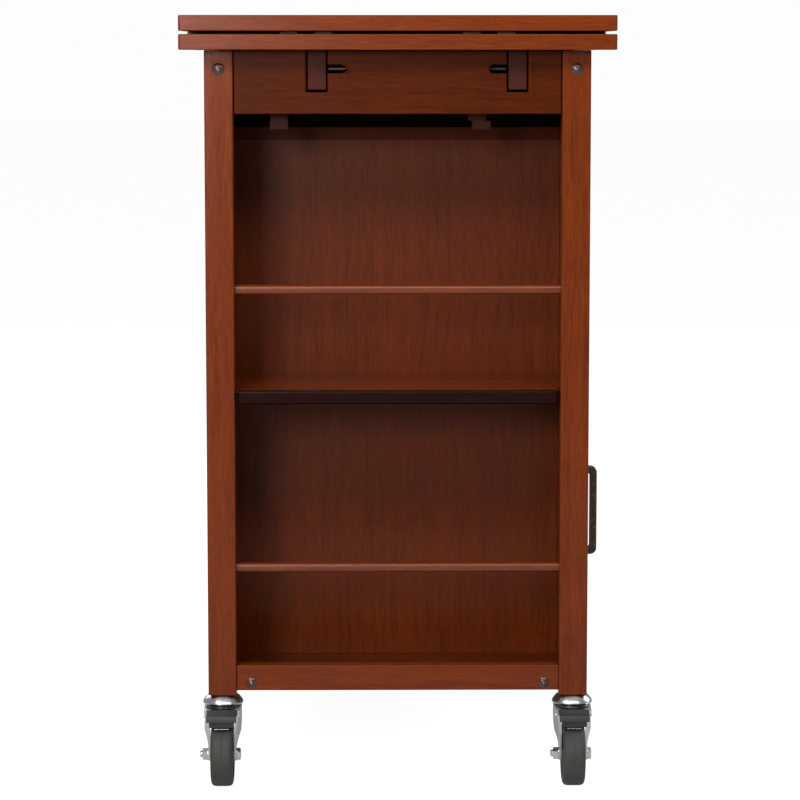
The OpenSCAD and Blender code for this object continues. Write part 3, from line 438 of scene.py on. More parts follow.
def ease(piece, edge, segments=2, clamp=True, along=None, least=0.0, strip_highlight_and_wear=-1):
    """Rounds the sharp edges of a piece, and keeps the shading of its flat faces flat.

    along names the axis of the edges that get the full rounding, where the others get the least.
    The last argument is the finish number of the rounded strips; a paler finish there is a painted highlight along the
    edges, partly also wear.
    """
    smoothed(piece)
    bevel = piece.modifiers.new("easing", "BEVEL")
    bevel.width = edge
    bevel.segments = segments
    bevel.limit_method = "ANGLE"
    bevel.angle_limit = math.radians(32)
    bevel.use_clamp_overlap = clamp
    bevel.harden_normals = True
    # The rounded strips may take their own paler finish, a painted edge highlight.
    bevel.material = strip_highlight_and_wear
    if along:
        mesh = piece.data
        axis = "XYZ".index(along)
        sharp = mesh.attributes["sharp_edge"].data
        weight = mesh.attributes.new("bevel_weight_edge", "FLOAT", "EDGE").data
        for line in mesh.edges:
            run = mesh.vertices[line.vertices[1]].co - mesh.vertices[line.vertices[0]].co
            full = abs(run[axis]) > 0.99 * run.length and run.length > 12 * MM
            weight[line.index].value = (1.0 if full else least / edge) if sharp[line.index].value else 0.0
        bevel.limit_method = "WEIGHT"
    return settle(piece)


def number_boards(mesh):
    """Gives each separate solid of a mesh its own number, which shifts its grain."""
    shape = bmesh.new()
    shape.from_mesh(mesh)
    numbers = [0.0] * len(shape.verts)
    seen = set()
    for start in shape.verts:
        if start in seen:
            continue
        number = (start.co.x * 3.1 + start.co.y * 5.3 + start.co.z * 7.7) % 1.0
        group = [start]
        seen.add(start)
        while group:
            vertex = group.pop()
            numbers[vertex.index] = number
            for edge in vertex.link_edges:
                other = edge.other_vert(vertex)
                if other not in seen:
                    seen.add(other)
                    group.append(other)
    shape.free()
    mesh.attributes.new("board", "FLOAT", "POINT").data.foreach_set("value", numbers)


def turned(shape, profile, segments=40, finish_of=None):
    """Adds a closed solid turned about the Z axis from its outline of radius and height in millimetres.

    An outline that starts and ends on the axis gives a solid body, any other gives a ring.
    """
    rings = []
    for radius, height in profile:
        turns = range(segments) if radius else (0,)
        rings.append([
            shape.verts.new((
                radius * MM * math.cos(math.tau * i / segments), radius * MM * math.sin(math.tau * i / segments),
                height * MM
            ))
            for i in turns
        ])
    solid = not profile[0][0] and not profile[-1][0]
    spans = list(zip(rings, rings[1:] if solid else rings[1:] + rings[:1]))
    for span, (low, high) in enumerate(spans):
        for i in range(segments):
            j = (i + 1) % segments
            corners = (low[i % len(low)], low[j % len(low)], high[j % len(high)], high[i % len(high)])
            corners = list(dict.fromkeys(corners))
            if len(corners) > 2:
                face = shape.faces.new(corners)
                face.material_index = finish_of(span) if finish_of else 0


def slab(shape, outline, half_width, finish_index=0):
    """Adds a slab across X from its side outline of distance out and height in millimetres."""
    sides = [
        [shape.verts.new((side * half_width * MM, -out * MM, height * MM)) for out, height in outline]
        for side in (-1, 1)
    ]
    left, right = sides
    faces = [shape.faces.new(left), shape.faces.new(right[::-1])]
    for i in range(len(outline)):
        j = (i + 1) % len(outline)
        faces.append(shape.faces.new((left[i], left[j], right[j], right[i])))
    for face in faces:
        face.material_index = finish_index


def sheet(shape, outer, inner):
    """Adds a closed sheet between two grids of points, each a list of equal rows."""
    grids = [[[shape.verts.new(point) for point in row] for row in grid] for grid in (outer, inner)]
    rows, columns = len(outer), len(outer[0])
    faces = []
    for grid in grids:
        for r in range(rows - 1):
            for c in range(columns - 1):
                faces.append((grid[r][c], grid[r][c + 1], grid[r + 1][c + 1], grid[r + 1][c]))
    rim = [(0, c) for c in range(columns)] + [(r, columns - 1) for r in range(1, rows)]
    rim += [(rows - 1, c) for c in range(columns - 2, -1, -1)] + [(r, 0) for r in range(rows - 2, 0, -1)]
    for (r0, c0), (r1, c1) in zip(rim, rim[1:] + rim[:1]):
        faces.append((grids[0][r0][c0], grids[0][r1][c1], grids[1][r1][c1], grids[1][r0][c0]))
    for corners in faces:
        shape.faces.new(corners)


def made(shape, name, finishes, edge, matrix=None):
    """Turns a new shape into an object with eased edges, its finishes and smooth shading."""
    bmesh.ops.recalc_face_normals(shape, faces=shape.faces)
    if matrix:
        bmesh.ops.transform(shape, matrix=matrix, verts=shape.verts)
    mesh = bpy.data.meshes.new(name)
    shape.to_mesh(mesh)
    shape.free()
    piece = object_of(mesh, name)
    for label in finishes:
        mesh.materials.append(finish(label))
    return ease(piece, edge) if edge else smoothed(piece)


def rule_tree(name, inputs):
    """An empty Geometry Nodes tree with a geometry, a finish and the named inputs for sizes."""
    tree = bpy.data.node_groups.new(name, "GeometryNodeTree")
    tree.interface.new_socket("Geometry", in_out="INPUT", socket_type="NodeSocketGeometry")
    tree.interface.new_socket("Finish", in_out="INPUT", socket_type="NodeSocketMaterial")
    for label, kind in inputs.items():
        tree.interface.new_socket(label, in_out="INPUT", socket_type=f"NodeSocket{kind}")
    tree.interface.new_socket("Geometry", in_out="OUTPUT", socket_type="NodeSocketGeometry")
    given = add(tree, "NodeGroupInput").outputs
    return tree, given


def close_tree(tree, geometry, given):
    """Ends a tree in real, finished geometry."""
    real = add(tree, "GeometryNodeRealizeInstances", {0: geometry})
    painted = add(tree, "GeometryNodeSetMaterial", {"Geometry": real.outputs[0], "Material": given["Finish"]})
    add(tree, "NodeGroupOutput", {0: painted.outputs[0]})
    return tree


def grown(tree, name, label, values, points=()):
    """The plain mesh object that a tree makes with its inputs set to the values."""
    mesh = bpy.data.meshes.new(name)
    mesh.from_pydata([p[:3] for p in points], [], [])
    if points:
        facing = mesh.attributes.new("facing", "FLOAT_VECTOR", "POINT")
        facing.data.foreach_set("vector", [c for p in points for c in p[3:]])
    piece = object_of(mesh, name)
    rule = piece.modifiers.new("rule", "NODES")
    rule.node_group = tree
    values = {**values, "Finish": finish(label)}
    for item in tree.interface.items_tree:
        if item.in_out == "INPUT" and item.name in values:
            rule[item.identifier] = values[item.name]
    settle(piece)
    return smoothed(piece)


def screw_tree():
    """A tree that sets screw heads with a cross recess on points, each turned to its facing."""
    tree, given = rule_tree("screw_heads", {"Diameter": "Float", "Height": "Float", "Depth": "Float", "Slot": "Float"})
    radius = add(tree, "ShaderNodeMath", {0: given["Diameter"], 1: 0.5}, operation="MULTIPLY")
    low = add(tree, "ShaderNodeMath", {0: radius.outputs[0], 1: 0.62}, operation="MULTIPLY")
    head = add(tree, "GeometryNodeMeshCone", {
        "Vertices": 24, "Side Segments": 3, "Radius Top": low.outputs[0], "Radius Bottom": radius.outputs[0],
        "Depth": given["Height"],
    })
    long = add(tree, "ShaderNodeMath", {0: radius.outputs[0], 1: 1.05}, operation="MULTIPLY")
    deep = add(tree, "ShaderNodeMath", {0: given["Depth"], 1: 2.0}, operation="MULTIPLY")
    across = add(tree, "ShaderNodeCombineXYZ", {0: long.outputs[0], 1: given["Slot"], 2: deep.outputs[0]})
    along = add(tree, "ShaderNodeCombineXYZ", {0: given["Slot"], 1: long.outputs[0], 2: deep.outputs[0]})
    up = add(tree, "ShaderNodeCombineXYZ", {2: given["Height"]})
    cut = add(tree, "GeometryNodeMeshBoolean", {"Mesh 1": head.outputs["Mesh"]}, operation="DIFFERENCE")
    for size_of in (across, along):
        bar = add(tree, "GeometryNodeMeshCube", {"Size": size_of.outputs[0]})
        raised = add(tree, "GeometryNodeTransform", {"Geometry": bar.outputs[0], "Translation": up.outputs[0]})
        tree.links.new(raised.outputs[0], cut.inputs["Mesh 2"])
    facing = add(tree, "GeometryNodeInputNamedAttribute", {"Name": "facing"}, data_type="FLOAT_VECTOR")
    turn = add(tree, "FunctionNodeAlignRotationToVector", {"Vector": facing.outputs[0]}, axis="Z")
    heads = add(tree, "GeometryNodeInstanceOnPoints", {
        "Points": given["Geometry"], "Instance": cut.outputs["Mesh"], "Rotation": turn.outputs[0],
    })
    return close_tree(tree, heads.outputs[0], given)


def screws(tree, name, node, label, points, head):
    """Screw heads on the body of a node, one at each point of place and facing."""
    diameter, height = head
    heads = grown(tree, name, label, {
        "Diameter": diameter, "Height": height, "Depth": height * 0.7, "Slot": diameter * 0.16,
    }, points)
    join_body(heads, node)


def solid_of(node, name):
    """A merged copy of a CAD node's mesh, with its flat faces whole, as a new object."""
    shape = bmesh.new()
    shape.from_mesh(frame["nodes"][node].data)
    bmesh.ops.remove_doubles(shape, verts=shape.verts, dist=0.002 * MM)
    bmesh.ops.dissolve_limit(
        shape, angle_limit=math.radians(0.5), verts=shape.verts, edges=shape.edges, use_dissolve_boundaries=False
    )
    mesh = bpy.data.meshes.new(name)
    shape.to_mesh(mesh)
    shape.free()
    return object_of(mesh, name)


def join_body(piece, node):
    """Lets a finished piece move with the body of a node."""
    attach(piece, BODY_OF_NODE[node])


def stand_for(piece, node):
    """Puts a finished piece in the place of a node."""
    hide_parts(node)
    join_body(piece, node)


def eased(node, finishes, edge, pick=None, segments=2, cuts=(), along=None, least=0.0, strip_highlight_and_wear=None):
    """A CAD node's shape with eased edges and its finish. pick chooses a finish for each face.

    The last argument names a paler finish for the rounded strips: a painted highlight along the edges, partly also the
    wear where the hand has rubbed them.
    """
    piece = solid_of(node, f"{node}_finished")
    shape = bmesh.new()
    shape.from_mesh(piece.data)
    for point, normal in cuts:
        parts = [*shape.verts, *shape.edges, *shape.faces]
        bmesh.ops.bisect_plane(shape, geom=parts, plane_co=point, plane_no=normal)
    shape.to_mesh(piece.data)
    shape.free()
    piece.data.materials.clear()
    names = (*finishes, strip_highlight_and_wear) if strip_highlight_and_wear else finishes
    for name in names:
        piece.data.materials.append(finish(name))
    strip = len(finishes)
    for face in piece.data.polygons:
        face.material_index = 0
    ease(piece, edge, segments, False, along, least, strip if strip_highlight_and_wear else -1)
    for face in piece.data.polygons:
        if pick and face.material_index < strip:
            face.material_index = pick(face)
    number_boards(piece.data)
    stand_for(piece, node)


def edge_faces(face):
    """The second finish on faces that look along Y, the first elsewhere."""
    return 1 if abs(face.normal.y) > 0.7 else 0


class CART_OT_worktop(bpy.types.Operator):
    """Adds the top board, the centre strip, the glides and the two leaves with their runners"""

    bl_idname = "cart.worktop"
    bl_label = "Worktop and leaves"

    def execute(self, context):
        wood = context.scene.cart_wood
        for node in ("main_top", "leaf_left", "leaf_right"):
            eased(node, ("worktop_Y", "worktop_X"), wood.top_edge, edge_faces, segments=3)
        eased("centre_strip", ("worktop_X",), wood.board_edge)
        eased("leaf_glides", ("felt",), 0.4 * MM)
        for node in ("leaf_left_runners", "leaf_right_runners"):
            eased(node, ("runner_Y", "runner_Z"), wood.frame_edge, edge_faces)
        return {"FINISHED"}


class CART_OT_leg_frame(bpy.types.Operator):
    """Adds the legs, aprons, bottom rails, centre bearer, corner blocks and frame bolts"""

    bl_idname = "cart.leg_frame"
    bl_label = "Leg frame"

    def execute(self, context):
        wood = context.scene.cart_wood
        for corner in CORNERS:
            eased(f"leg_{corner}", ("frame_Z",), wood.frame_edge)
        for side, axis in (("left", "X"), ("right", "X"), ("front", "Y"), ("back", "Y")):
            eased(f"apron_{side}", (f"apron_{axis}",), wood.apron_edge, segments=4, along="Z",
                  least=wood.frame_edge)
            eased(f"rail_{side}", (f"frame_{axis}",), wood.frame_edge)
        eased("centre_bearer", ("apron_X",), wood.board_edge)
        eased("glue_blocks", ("apron_X",), wood.board_edge)
        eased("frame_bolts", ("cap_enamel",), 0.15 * MM)
        return {"FINISHED"}


class CART_OT_panels(bpy.types.Operator):
    """Adds the panels, the boards, the bay's shelf and the guard rails"""

    bl_idname = "cart.panels"
    bl_label = "Panels and boards"

    def execute(self, context):
        wood = context.scene.cart_wood
        for node in ("partition", "panel_back", "panel_right", "panel_bay"):
            eased(node, ("panel_Z",), wood.board_edge)
        eased("door_jamb", ("frame_Z",), wood.board_edge)
        eased("runner_deck", ("apron_Y",), wood.board_edge)
        eased("cupboard_boards", ("panel_Y",), wood.board_edge)
        eased("drawer_runners", ("runner_X",), wood.board_edge)
        eased("bottom_board", ("panel_X",), wood.board_edge)
        eased("bay_shelf", ("frame_X", "nosing_X"), wood.shelf_edge, edge_faces, segments=5, along="X",
              least=wood.board_edge)
        self.guards(wood)
        return {"FINISHED"}

    def guards(self, wood):
        """The two guard rails, planed to a soft oval."""
        low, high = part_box("guard_rails")
        across, half = (high.y - low.y) / 2, GUARD_HEIGHT / 2
        shape = bmesh.new()
        for middle in (low.z + half, high.z - half):
            outline = []
            for quarter, (side, rise) in enumerate(((1, 1), (-1, 1), (-1, -1), (1, -1))):
                for step in range(9):
                    turn = (quarter + step / 8) * math.pi / 2
                    outline.append((
                        (side * (across - wood.guard_edge) + math.cos(turn) * wood.guard_edge - low.y - across) / MM,
                        (rise * (half - wood.guard_edge) + math.sin(turn) * wood.guard_edge + middle) / MM,
                    ))
            slab(shape, outline, high.x / MM)
        rails = made(shape, "guard_rails_finished", ("guard_X",), 0)
        number_boards(rails.data)
        stand_for(rails, "guard_rails")


class CART_OT_drawer(bpy.types.Operator):
    """Adds the drawer with its front, box, bottom and pull"""

    bl_idname = "cart.drawer"
    bl_label = "Drawer"

    def execute(self, context):
        wood = context.scene.cart_wood
        eased("drawer_front", ("frame_Y",), wood.top_edge, segments=3)
        eased("drawer_box", ("bare_X", "bare_Y"), wood.board_edge, edge_faces)
        eased("drawer_bottom", ("bare_Y",), wood.board_edge)
        # The pull's rounded edges get a paler bronze: a painted highlight, partly wear.
        eased("drawer_pull", ("bronze",), 1.1 * MM, segments=3, strip_highlight_and_wear="bronze_edge")
        front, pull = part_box("drawer_front"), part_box("drawer_pull")
        inner = [(front[0].x, y, (pull[0].z + pull[1].z) / 2, -1, 0, 0)
                 for y in (pull[0].y + PULL_FOOT, pull[1].y - PULL_FOOT)]
        screws(screw_tree(), "drawer_pull_screws", "drawer_pull", "zinc", inner, PAN_HEAD)
        return {"FINISHED"}


class CART_OT_door(bpy.types.Operator):
    """Adds the door with its frame, panel, pull, hinges and catch"""

    bl_idname = "cart.door"
    bl_label = "Door"

    def execute(self, context):
        wood = context.scene.cart_wood
        inner_low, inner_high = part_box("door_panel")
        groove = 8 * MM
        stiles = (inner_low.y + groove, inner_high.y - groove)
        cuts = [((0, y, 0), (0, 1, 0)) for y in stiles]

        def rails(face):
            return 1 if stiles[0] < face.center.y < stiles[1] else 0

        eased("door_frame", ("frame_Z", "frame_Y"), wood.frame_edge, rails, cuts=cuts)
        eased("door_panel", ("panel_Z",), wood.board_edge)
        # The pull's rounded edges get a paler bronze: a painted highlight, partly wear.
        eased("door_pull", ("bronze",), 1.1 * MM, segments=3, strip_highlight_and_wear="bronze_edge")
        for node in ("hinge_leaves_fixed", "door_hinge_leaves"):
            eased(node, ("bronze",), 0.15 * MM)
        eased("door_catch", ("catch_plastic",), 0.8 * MM)
        self.screws(context.scene.cart_metal)
        return {"FINISHED"}

    def screws(self, metal):
        """Flush screws in the hinges and the strike plate, and the two that hold the pull."""
        tree = screw_tree()
        hinge, door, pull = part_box("hinge_leaves_fixed"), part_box("door_hinge_leaves"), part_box("door_pull")
        half = HINGE_LENGTH / 2
        middles = (hinge[0].z + half, hinge[1].z - half)
        holes = [(hinge[0].x + HINGE_INSET, z + step) for z in middles for step in HINGE_SCREWS]
        fixed = [(x, HINGE_FACES[0], z, 0, -1, 0) for x, z in holes]
        moving = [(x, HINGE_FACES[1], z, 0, 1, 0) for x, z in holes]
        moving += [(door[0].x, y, z, -1, 0, 0) for y, z in STRIKE_SCREWS]
        inner = [(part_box("door_frame")[0].x, (pull[0].y + pull[1].y) / 2, z, -1, 0, 0)
                 for z in (pull[0].z + PULL_FOOT, pull[1].z - PULL_FOOT)]
        flush = (metal.screw, FLUSH)
        # The hinge and strike screw heads get the paler edge bronze, a painted highlight that partly stands for wear.
        screws(tree, "fixed_hinge_screws", "hinge_leaves_fixed", "bronze_edge", fixed, flush)
        screws(tree, "door_plate_screws", "door_hinge_leaves", "bronze_edge", moving, flush)
        screws(tree, "door_pull_screws", "door_pull", "zinc", inner, PAN_HEAD)


class CART_OT_lock_bolts(bpy.types.Operator):
    """Adds the four steel lock bolts of the leaves"""

    bl_idname = "cart.lock_bolts"
    bl_label = "Lock bolts"

    def execute(self, context):
        for end in ("left", "right"):
            for side in ("inner", "outer"):
                eased(f"lock_bolt_{end}_{side}", ("bolt_steel",), 0.6 * MM)
        return {"FINISHED"}


def smooth_step(value, start, end):
    """A soft change from 0 at start to 1 at end."""
    t = min(max((value - start) / (end - start), 0), 1)
    return t * t * (3 - 2 * t)


def blend_at(value, table):
    """The value between the rows of a table of height and value, highest row first."""
    for (high, at_high), (low, at_low) in zip(table, table[1:]):
        if value >= low:
            return at_low + (at_high - at_low) * min(max((value - low) / (high - low), 0), 1)
    return table[-1][1]


def corner_place(corner):
    """Places a caster that is drawn round the swivel axis, with the wheel out along -Y."""
    low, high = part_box(f"leg_{corner}")
    middle = (low + high) / 2
    turn = math.pi if middle.y > 0 else 0
    return Matrix.Translation((middle.x, middle.y, 0)) @ Matrix.Rotation(turn, 4, "Z")


class CART_OT_casters(bpy.types.Operator):
    """Adds the bells, forks, wheels and brake pedals of the four casters"""

    bl_idname = "cart.casters"
    bl_label = "Casters"

    def execute(self, context):
        caster = context.scene.cart_caster
        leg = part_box("leg_left_front")
        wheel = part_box("caster_wheel_left_front")
        swivel_y = (leg[0].y + leg[1].y) / 2
        self.radius = (wheel[1].z - wheel[0].z) / 2 / MM
        self.half_width = (wheel[1].x - wheel[0].x) / 2 / MM
        self.axle = self.radius
        self.trail = (swivel_y - (wheel[0].y + wheel[1].y) / 2) / MM
        self.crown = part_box("caster_fork_left_front")[1].z / MM
        self.leg_foot = leg[0].z / MM
        self.stem_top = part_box("caster_stems")[1].z / MM
        self.stem_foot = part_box("caster_stems")[0].z / MM
        self.across = self.turned_across(self.trail, self.axle)
        self.bells()
        ring_tree = self.rib_ring_tree()
        grip_tree = self.grip_tree()
        for corner in CORNERS:
            matrix = corner_place(corner)
            self.fork(caster, corner, matrix)
            self.wheel(caster, corner, matrix, ring_tree)
            self.pedal(caster, corner, matrix, grip_tree)
        return {"FINISHED"}

    def turned_across(self, out, height):
        """Lays a turned shape across a caster, round a point out from the swivel axis and above the floor."""
        return Matrix.Translation((0, -out * MM, height * MM)) @ Matrix.Rotation(math.pi / 2, 4, "Y")

    def bells(self):
        """The chromed bells over the swivels, with the stems that are pressed into the legs."""
        foot, low = self.leg_foot, self.stem_foot
        profile = [
            (0, low), (7.4, low), (8, low + 0.6), (8, low + 2.2), (5.5, low + 2.5), (5.5, foot - 12.6),
            (21.6, foot - 12.9), (22.6, foot - 12.4), (23.7, foot - 11.2), (24, foot - 9.6), (23.4, foot - 8.2),
            (22.1, foot - 6.3), (20.7, foot - 4.6), (19, foot - 2.9), (16.8, foot - 1.3), (14.6, foot - 0.4),
            (12.4, foot), (5.5, foot), (5.5, self.stem_top - 0.6), (4.9, self.stem_top), (0, self.stem_top)
        ]
        shape = bmesh.new()
        for corner in CORNERS:
            start = len(shape.verts)
            turned(shape, profile, 64)
            bmesh.ops.transform(shape, matrix=corner_place(corner), verts=list(shape.verts)[start:])
        bells = made(shape, "caster_bells", ("chrome",), 0)
        stand_for(bells, "caster_stems")

    def cheek_face(self, caster, out, height):
        """Distance of a cheek's outer face from the middle of the fork."""
        top, low = caster.fork_top / 2 / MM, caster.fork_low / 2 / MM
        side = low + (top - low) * smooth_step(height, self.axle + 8, self.axle + 32)
        front = blend_at(height, ((88, top - 0.7), (81, top - 3), (75, top - 4), (66, low), (0, low)))
        face = side + (front - side) * smooth_step(out, 12, 31)
        middle = 6 + 14 * smooth_step(height, 84, 46)
        rib = math.exp(-((out - middle) / 3.2) ** 2) * smooth_step(height, 44, 52) * smooth_step(height, 92, 84)
        return face + rib * caster.cheek_rib / MM * (0.4 if height > 66 else 1)

    def cheek_reach(self, height):
        """How far a cheek reaches back and front at a height."""
        boss = 8
        if height > self.axle + 3:
            t = smooth_step(height, self.crown - 13, self.axle + 3)
            half = math.sqrt(boss ** 2 - 9)
            return (-14 + (self.trail - half + 14) * t, 34 + (self.trail + half - 34) * t ** 2)
        half = math.sqrt(max(boss ** 2 - (height - self.axle) ** 2, 1))
        return (self.trail - half, self.trail + half)

    def fork(self, caster, corner, matrix):
        """A fork: a turned crown, two pressed cheeks and the axle bolt."""
        shape = bmesh.new()
        crown, axle, low = self.crown, self.axle, caster.fork_low / 2 / MM
        turned(shape, [
            (5.6, crown - 8.6), (17.4, crown - 8.6), (17.8, crown - 6.2), (21, crown - 3.4), (21.4, crown - 2.6),
            (21.4, crown - 1), (20.6, crown - 0.1), (19.6, crown), (5.6, crown)
        ], 48)
        heights = [crown - 0.2, 90, 87, 84, 81, 78, 75, 72, 69, 66, 63, 60, 57, 54, 51, 48, 45, 42, 40.4]
        heights += [axle, axle - 2.5, axle - 4.6, axle - 6.3, axle - 7.4, axle - 7.9]
        for side in (-1, 1):
            grids = []
            for inset in (0, caster.cheek / MM):
                grid = []
                for height in heights:
                    back, front = self.cheek_reach(height)
                    outs = [back + (front - back) * i / 16 for i in range(17)]
                    grid.append([
                        (side * (self.cheek_face(caster, out, height) - inset) * MM, -out * MM, height * MM)
                        for out in outs
                    ])
                grids.append(grid)
            sheet(shape, *grids)
        self.axle_bolt(shape, low, caster)
        fork = made(shape, f"fork_{corner}", ("zinc",), 0.35 * MM, matrix=matrix)
        stand_for(fork, f"caster_fork_{corner}")

    def axle_bolt(self, shape, low, caster):
        """The axle bolt across a fork, with a washer, its nut and its head."""
        flat = caster.nut / 2 / MM
        corner = flat / math.cos(math.pi / 6)
        parts = (
            ([(0, -low - 10), (3.2, -low - 10), (4, -low - 9.2), (4, low + 1), (0, low + 1)], 24),
            ([(0, -low - 1.1), (7.2, -low - 1.1), (7.2, -low), (0, -low)], 24),
            ([(0, low), (7.2, low), (7.2, low + 0.9), (0, low + 0.9)], 24),
            ([(0, -low - 7), (flat * 0.92, -low - 7), (corner * 0.97, -low - 6.2), (corner * 0.97, -low - 1.1),
              (0, -low - 1.1)], 6),
            ([(0, low + 0.9), (corner * 0.97, low + 0.9), (corner * 0.97, low + 4.2), (flat * 0.9, low + 5),
              (0, low + 5)], 6),
        )
        for profile, segments in parts:
            start = len(shape.verts)
            turned(shape, profile, segments)
            bmesh.ops.transform(shape, matrix=self.across, verts=list(shape.verts)[start:])

    def wheel(self, caster, corner, matrix, ring_tree):
        """A rubber tyre on a plastic core with recessed, ribbed faces."""
        r, w = self.radius, self.half_width
        half = [
            (4.1, w), (8.3, w), (9, w - 0.7), (9.4, w - 3), (27.6, w - 3), (28.2, w - 0.6), (28.5, w - 0.4),
            (28.8, w - 0.7), (29.4, w - 0.1), (32.8, w - 0.1), (34.6, w - 0.6), (36, w - 1.7), (36.9, w - 3.1),
            (r - 0.2, w - 4.8), (r, w - 7.5), (r, 0.5), (r - 0.25, 0.2)
        ]
        profile = half + [(radius, -height) for radius, height in half[::-1]]
        core_end = 8

        def tyre_or_core(span):
            return 1 if span < core_end or span > len(profile) - core_end - 2 else 0

        shape = bmesh.new()
        turned(shape, profile, 72, tyre_or_core)
        wheel = made(shape, f"wheel_{corner}", ("tyre", "wheel_core"), 0, matrix=matrix @ self.across)
        stand_for(wheel, f"caster_wheel_{corner}")
        ribs = grown(ring_tree, f"wheel_ribs_{corner}", "wheel_core", {
            "Count": caster.ribs, "Radius": 18.4 * MM, "Length": 18.6 * MM, "Width": 1.8 * MM,
            "Height": 2.6 * MM, "Face": (w - 1.9) * MM,
        })
        ribs.data.transform(matrix @ self.across)
        join_body(ribs, f"caster_wheel_{corner}")

    def rib_ring_tree(self):
        """A tree that sets ribs in a ring on both faces of a wheel."""
        tree, given = rule_tree("ring_of_ribs", {
            "Count": "Int", "Radius": "Float", "Length": "Float", "Width": "Float", "Height": "Float", "Face": "Float",
        })
        circle = add(tree, "GeometryNodeMeshCircle", {"Vertices": given["Count"], "Radius": given["Radius"]})
        size_of = add(tree, "ShaderNodeCombineXYZ", {0: given["Length"], 1: given["Width"], 2: given["Height"]})
        rib = add(tree, "GeometryNodeMeshCube", {"Size": size_of.outputs[0]})
        out = add(tree, "GeometryNodeInputPosition")
        turn = add(tree, "FunctionNodeAlignRotationToVector", {"Vector": out.outputs[0]}, axis="X")
        ribs = add(tree, "GeometryNodeInstanceOnPoints", {
            "Points": circle.outputs[0], "Instance": rib.outputs[0], "Rotation": turn.outputs[0],
        })
        both = add(tree, "GeometryNodeJoinGeometry")
        back_face = add(tree, "ShaderNodeMath", {0: given["Face"], 1: -1.0}, operation="MULTIPLY")
        for face in (given["Face"], back_face.outputs[0]):
            shift = add(tree, "ShaderNodeCombineXYZ", {2: face})
            moved = add(tree, "GeometryNodeTransform", {"Geometry": ribs.outputs[0], "Translation": shift.outputs[0]})
            tree.links.new(moved.outputs[0], both.inputs[0])
        return close_tree(tree, both.outputs[0], given)

    def pedal(self, caster, corner, matrix, grip_tree):
        """A brake pedal: a wide tread with a lip, a narrow body, a steel shoe and its pin."""
        shape = bmesh.new()
        slab(shape, [
            (27, 89.6), (28.4, 91.5), (39, 90.7), (49.8, 89.6), (51.6, 88.8), (52.5, 87.2), (52.5, 82.2), (52, 81.8),
            (51, 81.8), (50.6, 82.2), (50.4, 85), (49.2, 86.4), (39, 87.6), (28, 88.2)
        ], 17.5)
        slab(shape, [
            (24, 86.8), (26, 88.8), (28.5, 90), (46, 87.4), (46.4, 75.6), (45.8, 74.4), (44.4, 74), (37, 76.2),
            (28.6, 80.4), (24.6, 82.8)
        ], 14.5)
        slab(shape, [
            (34.5, 75), (40.4, 73.9), (45, 72.5), (46.2, 72.1), (46.6, 72.8), (45.6, 73.8), (35, 77.2)
        ], 8.4, 1)
        start = len(shape.verts)
        turned(shape, [(0, -21.5), (2.1, -21.5), (2.5, -21.1), (2.5, 21.1), (2.1, 21.5), (0, 21.5)], 20,
               lambda span: 1)
        bmesh.ops.transform(shape, matrix=self.turned_across(*PEDAL_PIN), verts=list(shape.verts)[start:])
        pedal = made(shape, f"pedal_{corner}", ("pedal_plastic", "zinc"), 0.45 * MM, matrix=matrix)
        stand_for(pedal, f"caster_pedal_{corner}")
        grips = grown(grip_tree, f"pedal_grips_{corner}", "pedal_plastic", {
            "Count": caster.tread_ribs, "Length": 29 * MM, "Radius": 0.8 * MM,
            "Step": (0, -4.2 * MM, -0.43 * MM),
        })
        first = Matrix.Translation((0, -32.5 * MM, 90.9 * MM))
        grips.data.transform(matrix @ first)
        join_body(grips, f"caster_pedal_{corner}")

    def grip_tree(self):
        """A tree that sets round grip ribs side by side."""
        tree, given = rule_tree("row_of_grips", {
            "Count": "Int", "Length": "Float", "Radius": "Float", "Step": "Vector",
        })
        line = add(tree, "GeometryNodeMeshLine", {"Count": given["Count"], "Offset": given["Step"]})
        rod = add(tree, "GeometryNodeMeshCylinder", {
            "Vertices": 12, "Radius": given["Radius"], "Depth": given["Length"],
        })
        laid = add(tree, "GeometryNodeTransform", {
            "Geometry": rod.outputs[0], "Rotation": (0.0, math.pi / 2, 0.0),
        })
        rods = add(tree, "GeometryNodeInstanceOnPoints", {"Points": line.outputs[0], "Instance": laid.outputs[0]})
        return close_tree(tree, rods.outputs[0], given)


